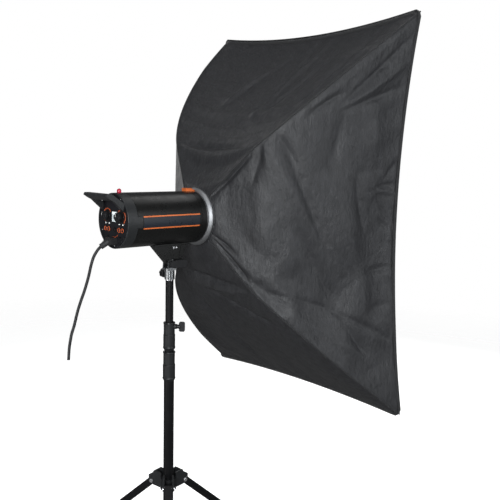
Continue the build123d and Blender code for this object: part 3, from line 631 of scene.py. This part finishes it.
def fold_height(co, fold):
    """How far a fold raises each point of the skin along its normal."""
    side, start, middle, end, width, height = fold
    width, height = width * MM, height * FOLD_DEPTH * MM
    places = [skin_point(side, *place) for place in (start, middle, end)]
    path = []
    for i in range(FOLD_STEPS + 1):
        t = i / FOLD_STEPS
        path.append(places[0] * (1 - t) ** 2 + places[1] * 2 * t * (1 - t) + places[2] * t * t)
    best = np.full(len(co), np.inf)
    place = np.zeros(len(co))
    for i in range(FOLD_STEPS):
        distance, along = segment_distance(co, path[i], path[i + 1])
        nearer = distance < best
        best = np.where(nearer, distance, best)
        place = np.where(nearer, (i + along) / FOLD_STEPS, place)
    taper = np.sin(np.clip(place, 0.0, 1.0) * math.pi) ** FOLD_TAPER
    return np.exp(-((best / width) ** FOLD_SHARPNESS)) * taper * height


# Folds: side, then start, middle and end as (across, v), then width and height in millimetres. A negative
# height is a crease.
FOLDS = [
    ("near", (0.30, 0.66), (0.56, 0.79), (0.90, 0.92), 46, 13),
    ("near", (0.03, 0.29), (0.34, 0.47), (0.64, 0.67), 26, 7),
    ("near", (0.04, 0.38), (0.38, 0.53), (0.68, 0.73), 15, -8),
    ("near", (0.48, 0.48), (0.68, 0.61), (0.82, 0.77), 16, -7),
    ("near", (0.08, 0.71), (0.22, 0.71), (0.36, 0.65), 19, -7),
    ("near", (0.14, 0.84), (0.24, 0.86), (0.36, 0.88), 34, 8),
    ("near", (0.34, 0.80), (0.43, 0.80), (0.56, 0.86), 12, -5),
    ("near", (0.02, 0.27), (0.13, 0.24), (0.28, 0.20), 13, -5),
    ("near", (0.01, 0.27), (0.10, 0.30), (0.20, 0.30), 7, 4),
    ("near", (0.02, 0.35), (0.15, 0.44), (0.27, 0.50), 12, -4),
    ("near", (0.56, 0.12), (0.73, 0.30), (0.80, 0.48), 26, -5),
    ("near", (0.01, 0.99), (0.03, 0.78), (0.03, 0.46), 7, 4),
    ("near", (0.05, 0.99), (0.08, 0.84), (0.11, 0.66), 8, -6),
    ("near", (0.11, 0.99), (0.12, 0.85), (0.12, 0.66), 9, 5),
    ("near", (0.17, 0.99), (0.15, 0.84), (0.12, 0.66), 7, -5),
    ("near", (0.08, 0.74), (0.04, 0.62), (0.06, 0.50), 6, -4),
    ("near", (0.05, 0.00), (0.045, 0.10), (0.02, 0.22), 6, -5),
    ("near", (0.41, 1.00), (0.41, 0.94), (0.42, 0.84), 5, -4),
    ("near", (0.44, 1.00), (0.42, 0.93), (0.41, 0.86), 5, 4),
    ("near", (0.35, 0.99), (0.37, 0.96), (0.40, 0.92), 5, -3),
    ("near", (0.41, 0.89), (0.48, 0.94), (0.53, 0.99), 5, -3),
    ("near", (0.62, 1.00), (0.63, 0.93), (0.66, 0.84), 7, -4),
    ("near", (0.54, 1.00), (0.51, 0.95), (0.50, 0.91), 6, -3),
    ("near", (0.72, 0.98), (0.73, 0.92), (0.78, 0.86), 14, -5),
    ("near", (0.93, 0.30), (0.85, 0.50), (0.81, 0.68), 6, -4),
    ("near", (0.82, 0.60), (0.81, 0.80), (0.81, 1.00), 6, -5),
    ("near", (0.81, 0.74), (0.87, 0.78), (0.90, 0.88), 10, -5),
    ("near", (0.93, 0.34), (0.92, 0.66), (0.90, 0.99), 12, 4),
    ("near", (0.89, 0.00), (0.91, 0.12), (0.96, 0.23), 5, -6),
    ("near", (0.84, 0.00), (0.81, 0.07), (0.83, 0.15), 5, -5),
    ("bottom", (0.98, 0.16), (0.50, 0.19), (0.03, 0.23), 9, -6),
    ("bottom", (0.98, 0.20), (0.52, 0.29), (0.02, 0.25), 10, 5),
    ("bottom", (0.72, 0.24), (0.40, 0.36), (0.05, 0.50), 9, -5),
    ("bottom", (0.80, 0.34), (0.60, 0.54), (0.64, 0.90), 13, -8),
    ("bottom", (0.97, 0.50), (0.93, 0.74), (0.82, 0.92), 14, 7),
    ("top", (0.62, 0.99), (0.63, 0.74), (0.60, 0.46), 9, 6),
    ("top", (0.57, 0.99), (0.59, 0.74), (0.57, 0.48), 8, -4),
    ("top", (0.49, 0.92), (0.35, 0.77), (0.27, 0.54), 10, 5),
    ("top", (0.73, 0.90), (0.72, 0.71), (0.66, 0.52), 9, -5),
    ("top", (0.86, 0.95), (0.87, 0.73), (0.88, 0.48), 14, -6),
    ("top", (0.93, 0.99), (0.95, 0.74), (0.94, 0.40), 9, 4),
    ("top", (0.02, 0.255), (0.45, 0.26), (0.95, 0.25), 8, -4),
    ("far", (0.85, 0.35), (0.80, 0.65), (0.75, 0.95), 22, 5),
    ("far", (0.10, 0.40), (0.30, 0.60), (0.45, 0.95), 26, 6),
    ("far", (0.97, 0.30), (0.95, 0.62), (0.94, 0.99), 9, 4),
    ("far", (0.30, 0.20), (0.45, 0.40), (0.60, 0.55), 20, -5),
]


def outward_normals(mesh):
    """Normal of each point, turned away from the softbox's middle."""
    normals = np.zeros(len(mesh.vertices) * 3, np.float32)
    mesh.vertices.foreach_get("normal", normals)
    normals = normals.reshape(-1, 3).astype(float)
    outward = coordinates(mesh) - np.array(SOFTBOX_CENTRE)
    return normals if (normals * outward).sum() > 0 else -normals


def fold_skin(skin, tight):
    """Adds every fold, laid out on the tight skin, to the settled one."""
    co = coordinates(tight.data)
    raised = np.zeros(len(co))
    for fold in FOLDS:
        raised += fold_height(co, fold)
    set_coordinates(skin.data, coordinates(skin.data) + outward_normals(tight.data) * raised[:, None])


def refine_skin(skin, columns):
    """Subdivides the grid between its creased seams."""
    crease_seams(skin.data, columns)
    finer = skin.modifiers.new("finer", "SUBSURF")
    finer.levels = finer.render_levels = 2
    apply_modifiers(skin)


def build_skin(materials):
    """The black outer cloth: settled, refined, then folded."""
    points, faces, columns, rows = build_skin_grid()
    skin = make_piece("softbox_skin", points, faces, materials["black_fabric"])
    tight = make_piece("tight_skin", points, faces, materials["black_fabric"])
    pin_skin(skin, columns, rows)
    settle_cloth(skin)
    refine_skin(skin, columns)
    refine_skin(tight, columns)
    fold_skin(skin, tight)
    bpy.data.objects.remove(tight)
    skin.data.shade_smooth()
    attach(skin, "softbox")
    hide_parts("softbox_shell")
    return skin


def build_lining(skin):
    """Silver cloth against the inside of the skin, from the back opening to the front cloth."""
    mesh = skin.data.copy()
    lining = bpy.data.objects.new("softbox_lining", mesh)
    bpy.context.scene.collection.objects.link(lining)
    mesh.materials.clear()
    mesh.materials.append(silver_cloth("silver_lining"))
    set_coordinates(mesh, coordinates(mesh) - outward_normals(mesh) * LINING_GAP)
    cut = bmesh.new()
    cut.from_mesh(mesh)
    lip = [v for v in cut.verts if v.co.y < FRONT_Y + DIFFUSER_RECESS]
    bmesh.ops.delete(cut, geom=lip, context="VERTS")
    cut.to_mesh(mesh)
    cut.free()
    lining.modifiers.new("fewer", "DECIMATE").ratio = 0.25
    apply_modifiers(lining)
    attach(lining, "softbox")


def build_rod_seams(materials):
    """Raised seam over each rod."""
    steps, lift, radius = 70, 0.2 * MM, 2.0 * MM
    points, faces = join_meshes([tube_mesh(rod_seam(side, steps, lift), radius, 8) for side in SIDES])
    make_piece("rod_seams", points, faces, materials["black_webbing"], "softbox")


OUTLINE_STEPS = 60       # points along each side of the front edge


def front_outline(inset):
    """Closed outline of the front edge, drawn in towards its middle."""
    centre = Vector((0, FRONT_Y, AXIS_Z))
    outline = []
    for side in SIDES:
        for i in range(OUTLINE_STEPS):
            edge = skin_point(side, i / OUTLINE_STEPS, 1.0)
            point = Vector((edge.x, FRONT_Y, edge.z))
            outline.append(point + (centre - point).normalized() * inset)
    return outline


def squarish(value):
    """A sine or cosine, drawn out towards a square with round corners."""
    return math.copysign(abs(value) ** 0.6, value)


def build_binding(materials):
    """Grosgrain tape folded over the raw front edge."""
    path = front_outline(1.5 * MM)
    half_depth, half_width, profile_sides = 5.0 * MM, 1.8 * MM, 10
    count = len(path)
    points = []
    for i, point in enumerate(path):
        tangent = (path[(i + 1) % count] - path[i - 1]).normalized()
        outward = Vector((0, 1, 0)).cross(tangent)
        if outward.dot(point - Vector((0, FRONT_Y, AXIS_Z))) < 0:
            outward = -outward
        for k in range(profile_sides):
            angle = 2 * math.pi * k / profile_sides
            across = squarish(math.cos(angle)) * half_width
            deep = squarish(math.sin(angle)) * half_depth
            points.append(point + outward * across + Vector((0, half_depth + deep, 0)))
    make_piece("front_binding", points, loop_faces(count, profile_sides), materials["black_webbing"],
               "softbox", replaced="edge_binding")


def build_opening_hem(materials):
    """Gathered elastic hem round the back opening."""
    count, radius, outset = 180, 3.2 * MM, 0.5 * MM
    path, radii = [], []
    for i in range(count):
        angle = 2 * math.pi * i / count
        gather = 1 + 0.16 * math.sin(angle * 46) + 0.1 * math.sin(angle * 29 + 1)
        path.append(circle_point(OPENING_R + outset, angle, BACK_Y + outset))
        radii.append(radius * gather)
    points, faces = tube_mesh(path, radii, 12, True)
    make_piece("opening_hem", points, faces, materials["black_fabric"], "softbox")


PULL_HEIGHT, PULL_COUNT, PULL_REACH = 2.5 * MM, 14, 110 * MM


def corner_pulls(x, z):
    """Ripples that fan out of each corner of the front cloth."""
    across, up = HALF_X - abs(x), HALF_Z - abs(z - AXIS_Z)
    fade = math.exp(-((math.hypot(across, up) / PULL_REACH - 0.7) ** 2))
    return PULL_HEIGHT * math.sin(PULL_COUNT * math.atan2(up, across)) * fade


def build_diffuser_hem(materials):
    """Black hook-and-loop band that holds the front cloth to the lip."""
    y = FRONT_Y + DIFFUSER_RECESS - 1.2 * MM
    outer, inner = front_outline(5 * MM), front_outline(21 * MM)
    rows = [Vector((p.x, y, p.z)) for p in outer] + [Vector((p.x, y + 0.6 * MM, p.z)) for p in inner]
    make_piece("front_cloth_hem", rows, grid_faces(2, len(outer), True), materials["black_webbing"],
               "softbox", thickness=1.0 * MM)


CLOTH_THICKNESS = 0.6 * MM
LIP_LINE = 0.965         # v of the skin at the front cloth
DIFFUSER_SHARE = 0.985   # size of the front cloth in the frame that the skin leaves it


def cloth_points(rows, columns, place):
    """Grid of points; place turns u (sideways) and w (upwards), both 0 to 1, into a point."""
    return [place(c / (columns - 1), r / (rows - 1)) for r in range(rows) for c in range(columns)]


def diffuser_point(u, w):
    """Point of the front cloth, which follows the bowed edges and hangs in towards its middle."""
    left, right = skin_point("far", w, LIP_LINE), skin_point("near", 1 - w, LIP_LINE)
    low, high = skin_point("bottom", 1 - u, LIP_LINE), skin_point("top", u, LIP_LINE)
    x = left.lerp(right, u).x
    z = low.lerp(high, w).z
    hollow = math.sin(math.pi * u) * math.sin(math.pi * w)
    ripple = noise.noise(Vector((x * 6, 0, z * 6))) * 3 * MM * hollow + corner_pulls(x, z)
    y = FRONT_Y + DIFFUSER_RECESS + 9 * MM * hollow + ripple
    return Vector((x * DIFFUSER_SHARE, y, AXIS_Z + (z - AXIS_Z) * DIFFUSER_SHARE))


def build_diffuser(materials):
    """White front cloth, let in behind the binding and hanging a little hollow."""
    rows, columns = 90, 64
    make_piece("front_cloth", cloth_points(rows, columns, diffuser_point), grid_faces(rows, columns),
               materials["white_fabric"], "softbox", thickness=CLOTH_THICKNESS,
               replaced="front_diffuser")


def baffle_point(u, w):
    """Point of the inner cloth, whose edges curve in between its corners."""
    low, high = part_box("inner_baffle")
    x = (low.x + (high.x - low.x) * u) * (1 - 0.09 * math.sin(math.pi * w))
    rise = low.z + (high.z - low.z) * w - AXIS_Z
    sag = math.sin(math.pi * u) * math.sin(math.pi * w) * 6 * MM
    return Vector((x, low.y + sag, AXIS_Z + rise * (1 - 0.06 * math.sin(math.pi * u))))


def build_baffle(materials):
    """Inner white cloth across the middle of the softbox."""
    rows, columns = 24, 18
    make_piece("baffle_cloth", cloth_points(rows, columns, baffle_point), grid_faces(rows, columns),
               materials["white_fabric"], "softbox", thickness=CLOTH_THICKNESS,
               replaced="inner_baffle")


def build_softbox(materials):
    skin = build_skin(materials)
    build_lining(skin)
    build_rod_seams(materials)
    build_binding(materials)
    build_opening_hem(materials)
    build_diffuser(materials)
    build_diffuser_hem(materials)
    build_baffle(materials)


# --- mains lead ---
PLUG_DIRECTION = np.array((0.51, 0.65, -0.56))      # the way the lead leaves its plug
LEAD_R, LEAD_STEPS = 3.3 * MM, 44


def cable_path():
    """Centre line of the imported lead, from the plug down."""
    co = coordinates(frame["nodes"]["power_cable"].data)
    low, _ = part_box("power_cable")
    along = co @ PLUG_DIRECTION
    start = co[along < along.min() + 0.4 * MM].mean(axis=0)
    path = [Vector(start), Vector(start + PLUG_DIRECTION * 5 * MM)]
    top = path[-1].z - 5 * MM
    for i in range(LEAD_STEPS + 1):
        z = top - (top - low.z - 0.3 * MM) * i / LEAD_STEPS
        near = co[np.abs(co[:, 2] - z) < 7 * MM]
        path.append(Vector((near[:, 0].mean(), near[:, 1].mean(), z)))
    for _ in range(2):
        middle = [(a + b * 2 + c) / 4 for a, b, c in zip(path, path[1:], path[2:])]
        path = [path[0]] + middle + [path[-1]]
    return path


def build_cable(materials):
    """Round lead that curves down from the plug between the head and the stand, with a ribbed strain relief
    at the plug.
    """
    path = cable_path()
    points, faces = tube_mesh(path, LEAD_R, 16)
    cable = make_piece("mains_cable", points, faces, materials["black_rubber"])
    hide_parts("power_cable")
    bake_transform(cable)
    back = (path[0] - path[1]).normalized()
    ribs = []
    for i in range(6):
        centre = path[0] + back * (1.5 + 2.6 * i) * MM
        ribs.append(tube_mesh([centre, centre + back * 1.5 * MM], (4.6 + 0.45 * i) * MM, 20))
    points, faces = join_meshes(ribs)
    make_piece("strain_relief", points, faces, materials["black_rubber"], "flash_head")


# --- flash head's printed and moulded details ---
SCALE_R, TICK_R, LINE_R, RING_R = 0.75 * MM, 0.45 * MM, 0.6 * MM, 0.85 * MM     # half widths of the print
TICKS = 8


def arc_path(x, z, radius, start, end, lift, count=48):
    """Points along an arc on the rear panel, raised off its face; angles in degrees."""
    path = []
    for i in range(count + 1):
        angle = math.radians(start + (end - start) * i / count)
        path.append(circle_point(radius, angle, panel_high.y + lift, x, z))
    return path


def node_centre(name):
    """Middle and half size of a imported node."""
    low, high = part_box(name)
    return (low + high) / 2, (high - low) / 2


def build_button_ring(name, ink):
    """Orange ring printed round a button's cap."""
    centre, half = node_centre(name)
    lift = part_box(name)[1].y - panel_high.y
    path = arc_path(centre.x, centre.z, half.x - 0.6 * MM, 0, 352, lift, 44)
    points, faces = tube_mesh(path, RING_R, 8, True)
    make_piece(f"{name}_ring", points, faces, ink, name)


def dial_scale(name, start, end):
    """Arc with ticks beside a dial."""
    centre, half = node_centre(name)
    parts = [tube_mesh(arc_path(centre.x, centre.z, half.x + 3.2 * MM, start, end, 0.3 * MM), SCALE_R, 8)]
    for step in range(TICKS + 1):
        angle = math.radians(start + (end - start) * step / TICKS)
        reaches = half.x + 0.6 * MM, half.x + 2.4 * MM
        y = panel_high.y + 0.25 * MM
        tick = [circle_point(reach, angle, y, centre.x, centre.z) for reach in reaches]
        parts.append(tube_mesh(tick, TICK_R, 6))
    return parts


def build_panel_print():
    """Orange scales beside the dials, a curved line between the buttons and a ring on each button."""
    parts = dial_scale("dial_left", -50, 140) + dial_scale("dial_right", 40, 230)
    button, _ = node_centre("push_button_2")
    line = arc_path(0, button.z - 1 * MM, abs(button.x) * 0.8, 215, 290, 0.2 * MM)
    parts.append(tube_mesh(line, LINE_R, 8))
    points, faces = join_meshes(parts)
    ink = plastic("print_orange", (0.5, 0.1, 0.035), 0.45, 0.1)
    make_piece("panel_print", points, faces, ink, "flash_head")
    for number in range(1, 5):
        build_button_ring(f"push_button_{number}", ink)


def box_mesh(low, high):
    corners = [(x, y, z) for x in (low[0], high[0]) for y in (low[1], high[1]) for z in (low[2], high[2])]
    faces = [(0, 1, 3, 2), (4, 6, 7, 5), (0, 4, 5, 1), (2, 3, 7, 6), (0, 2, 6, 4), (1, 5, 7, 3)]
    return [Vector(corner) for corner in corners], faces


def build_display_marks():
    """Level bars on the display: a row of rising blocks over a base line."""
    low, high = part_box("display_window")
    width, height = high.x - low.x, high.z - low.z

    def mark(left, right, bottom, top):
        """Raised block; its edges are shares of the display's width and height."""
        return box_mesh((low.x + width * left, high.y, low.z + height * bottom),
                        (low.x + width * right, high.y + 0.15 * MM, low.z + height * top))

    parts = []
    for i in range(5):
        left = 0.16 + 0.15 * i
        parts.append(mark(left, left + 0.09, 0.22, 0.38 + 0.1 * i))
    parts.append(mark(0.12, 0.88, 0.12, 0.16))
    points, faces = join_meshes(parts)
    ink = plastic("display_ink", (0.05, 0.07, 0.08), 0.5, 0.1)
    make_piece("display_marks", points, faces, ink, "flash_head", smooth=False)


DRUM_SHARE = 0.73        # a dial's drum, as a share of its skirt
DIAL_SIDES, FLUTES, FLUTE_DEPTH = 144, 24, 0.035


def flute(angle):
    return 1 + FLUTE_DEPTH + FLUTE_DEPTH * math.cos(FLUTES * angle)


def build_dial_knurls(materials):
    """Fluted sleeve round each dial's drum and a pale pointer line on its face."""
    pale = plastic("pointer_white", (0.8, 0.8, 0.78), 0.4, 0.1)
    for name in ("dial_left", "dial_right"):
        centre, half = node_centre(name)
        drum_r, face_y = half.x * DRUM_SHARE, centre.y + half.y
        start, end = panel_high.y + 2.8 * MM, face_y - 2.9 * MM
        profile = [(start, drum_r * 0.96), (start + 0.6 * MM, drum_r)]
        profile += [(end - 0.8 * MM, drum_r * 0.985), (end, drum_r * 0.93)]
        rows = turned_points(profile, DIAL_SIDES, centre.x, centre.z, flute)
        make_piece(f"{name}_knurl", rows, grid_faces(len(profile), DIAL_SIDES, True),
                   materials["knob_plastic"], name, thickness=0.5 * MM)
        points, faces = box_mesh((centre.x - 0.5 * MM, face_y, centre.z + 1 * MM),
                                 (centre.x + 0.5 * MM, face_y + 0.2 * MM, centre.z + half.z * 0.6))
        make_piece(f"{name}_pointer", points, faces, pale, name, smooth=False)


def build_side_bands():
    """Dark blue-grey band between the two trims on each side of the housing."""
    low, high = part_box("stripe_trims")
    band = plastic("side_band", (0.012, 0.015, 0.021), 0.3, 0.2)
    radius, inset, steps = HEAD_R + 0.35 * MM, 3.1 * MM, 12
    top = math.asin((high.z - inset - AXIS_Z) / radius)
    bottom = math.asin((low.z + inset - AXIS_Z) / radius)
    for side, name in ((-1, "near"), (1, "far")):
        rows = []
        for y in (low.y, high.y):
            for i in range(steps + 1):
                angle = bottom + (top - bottom) * i / steps
                rows.append(Vector((side * radius * math.cos(angle), y, AXIS_Z + radius * math.sin(angle))))
        make_piece(f"side_band_{name}", rows, grid_faces(2, steps + 1), band, "flash_head")


def build_panel_screws(materials):
    """Domed screw heads round the rear panel."""
    parts = []
    for angle in (62, 118, 205, 335, 270):
        centre = circle_point(HEAD_R - 6.5 * MM, math.radians(angle), panel_high.y + 0.1 * MM)
        top = centre + Vector((0, 1.0 * MM, 0))
        parts.append(tube_mesh([centre, top], [2.4 * MM, 1.9 * MM], 18))
    points, faces = join_meshes(parts)
    make_piece("panel_screws", points, faces, materials["bright_steel"], "flash_head")


# Distance behind the softbox's opening and height off the drum, in millimetres.
RIM_PROFILE = [(5.0, 0.1), (5.0, 7.4), (5.5, 8.1), (7.8, 6.4), (10.6, 3.6), (13.0, 1.2), (13.4, 0.1)]
LIP_HEIGHT = 2.2 * MM    # the adapter's lip stands this far off its drum


def build_adapter_rim():
    """Bright dished rim of the adapter, between the head's collar and the softbox's hem."""
    sides = 120
    drum = adapter_high.x - LIP_HEIGHT
    profile = [(BACK_Y + back * MM, drum + height * MM) for back, height in RIM_PROFILE]
    bright = metal("bright_aluminium", (0.33, 0.335, 0.345), 0.52, (1, 6, 1), 0.06)
    make_piece("adapter_rim", turned_points(profile, sides), loop_faces(len(profile), sides), bright,
               "flash_head")


def build_head_details(materials):
    build_panel_print()
    build_display_marks()
    build_dial_knurls(materials)
    build_side_bands()
    build_panel_screws(materials)
    build_adapter_rim()


# --- stage ---
AMBIENT = 0.12           # strength of the even studio light
CEILING = 0.16           # strength of the white ceiling and floor in reflections
FLOOR_LIFT = 0.7         # light added to the floor where it is seen
FLOOR_HALF = 6.0
FLOOR_FADE = (1.2, 4.5)  # the floor fades out between these distances from the column
WHITE = (1, 1, 1)


def build_floor():
    """White paper floor that fades into the background and is dim to everything but the viewer."""
    n = Nodes("floor_paper")
    n.color(n.mix(n.noise(3, 4, 0.5), (0.84, 0.84, 0.84), (0.88, 0.88, 0.88)))
    n.roughness(n.spread(n.noise(20, 3, 0.5), 0.7, 0.85))
    distance = n.add("ShaderNodeVectorMath", operation="LENGTH")
    n.link(n.position, distance.inputs[0])
    edge = n.ramp(distance.outputs["Value"], *FLOOR_FADE, 0.0, 1.0)
    lifted = n.add("ShaderNodeAddShader")
    n.link(n.shader.outputs[0], lifted.inputs[0])
    n.link(n.glow("ShaderNodeEmission", WHITE, FLOOR_LIFT).outputs[0], lifted.inputs[1])
    dim = n.add("ShaderNodeBsdfDiffuse")
    dim.inputs["Color"].default_value = (0.42, 0.42, 0.42, 1)
    ray = n.add("ShaderNodeLightPath")
    mirrored = n.glow("ShaderNodeEmission", WHITE, CEILING)
    bounce = n.choose(ray.outputs["Is Glossy Ray"], dim, mirrored)
    seen = n.choose(ray.outputs["Is Camera Ray"], bounce, lifted)
    faded = n.choose(edge, seen, n.add("ShaderNodeBsdfTransparent"))
    n.link(faded.outputs[0], n.output.inputs[0])
    corners = [(x * FLOOR_HALF, y * FLOOR_HALF, 0) for x, y in ((-1, -1), (1, -1), (1, 1), (-1, 1))]
    make_piece("floor", corners, [(0, 1, 2, 3)], n.material, smooth=False)


def build_world():
    """White where it is seen; an even cool light otherwise, brighter overhead in reflections."""
    world = bpy.data.worlds.new("studio")
    bpy.context.scene.world = world
    world.use_nodes = True
    n = Tree(world.node_tree)
    ray = n.add("ShaderNodeLightPath")
    height = n.add("ShaderNodeSeparateXYZ")
    n.link(n.add("ShaderNodeTexCoord").outputs["Generated"], height.inputs[0])
    glossy = n.add("ShaderNodeMix")
    glossy.inputs[2].default_value = AMBIENT
    n.link(ray.outputs["Is Glossy Ray"], glossy.inputs[0])
    n.link(n.ramp(height.outputs["Z"], 0.35, 0.8, AMBIENT, CEILING), glossy.inputs[3])
    ambient = n.glow("ShaderNodeBackground", (0.93, 0.96, 1.0), AMBIENT)
    n.link(glossy.outputs[0], ambient.inputs["Strength"])
    seen = n.glow("ShaderNodeBackground", WHITE, 1.0)
    shown = n.choose(ray.outputs["Is Camera Ray"], ambient, seen)
    n.link(shown.outputs[0], n.add("ShaderNodeOutputWorld").inputs[0])


COOL = (0.95, 0.98, 1.0)
LIGHT_TARGET = Vector((0, -0.15, AXIS_Z))
LIGHTS = [               # name, place, width and height, power in watts, colour
    ("key", (-2.05, 2.1, 1.45), (0.9, 0.9), 88, COOL),
    ("side", (-2.4, -0.9, 1.6), (1.2, 2.0), 24, COOL),
    ("top", (-0.4, 0.7, 3.4), (1.2, 1.6), 15, WHITE),
    ("over", (0.3, -1.9, 3.4), (1.6, 0.9), 10, WHITE),
    ("low", (0.3, 2.1, 0.3), (1.4, 0.5), 9, WHITE),
    ("far", (2.6, -0.5, 1.7), (1.2, 2.0), 15, WHITE),
    ("front", (0.8, -3.0, 1.6), (2.0, 2.0), 40, WHITE),
]


def build_lights():
    """Rectangular lamps, all turned to the softbox."""
    for name, place, size, power, color in LIGHTS:
        data = bpy.data.lights.new(name, "AREA")
        data.shape = "RECTANGLE"
        data.size, data.size_y = size
        data.energy = power
        data.color = color
        light = bpy.data.objects.new(name, data)
        bpy.context.scene.collection.objects.link(light)
        light.location = place
        light.rotation_euler = (LIGHT_TARGET - Vector(place)).to_track_quat("-Z", "Y").to_euler()


# The camera stands behind and to the near side of the head, looking slightly down, and leans a little.
CAMERA_PLACE = Vector((-1.333, 0.983, 1.239))
CAMERA_YAW, CAMERA_PITCH, CAMERA_ROLL = -0.7503, -0.1337, 0.0216     # radians
CAMERA_LENS = 50.53                                                  # millimetres


def build_camera():
    data = bpy.data.cameras.new("camera")
    data.lens = CAMERA_LENS
    camera = bpy.data.objects.new("camera", data)
    bpy.context.scene.collection.objects.link(camera)
    camera.location = CAMERA_PLACE
    yaw, pitch = CAMERA_YAW, CAMERA_PITCH
    forward = Vector((math.cos(pitch) * math.cos(yaw), math.cos(pitch) * math.sin(yaw), math.sin(pitch)))
    right = Vector((forward.y, -forward.x, 0)).normalized()
    up = right.cross(forward)
    turned = right * math.cos(CAMERA_ROLL) + up * math.sin(CAMERA_ROLL)
    raised = up * math.cos(CAMERA_ROLL) - right * math.sin(CAMERA_ROLL)
    camera.rotation_euler = Matrix((turned, raised, -forward)).transposed().to_euler()
    bpy.context.scene.camera = camera


bpy.context.scene.view_settings.view_transform = "Standard"
slot_materials = make_materials()
finish_cad_nodes(slot_materials)
build_softbox(slot_materials)
build_cable(slot_materials)
build_head_details(slot_materials)
build_floor()
build_world()
build_lights()
build_camera()
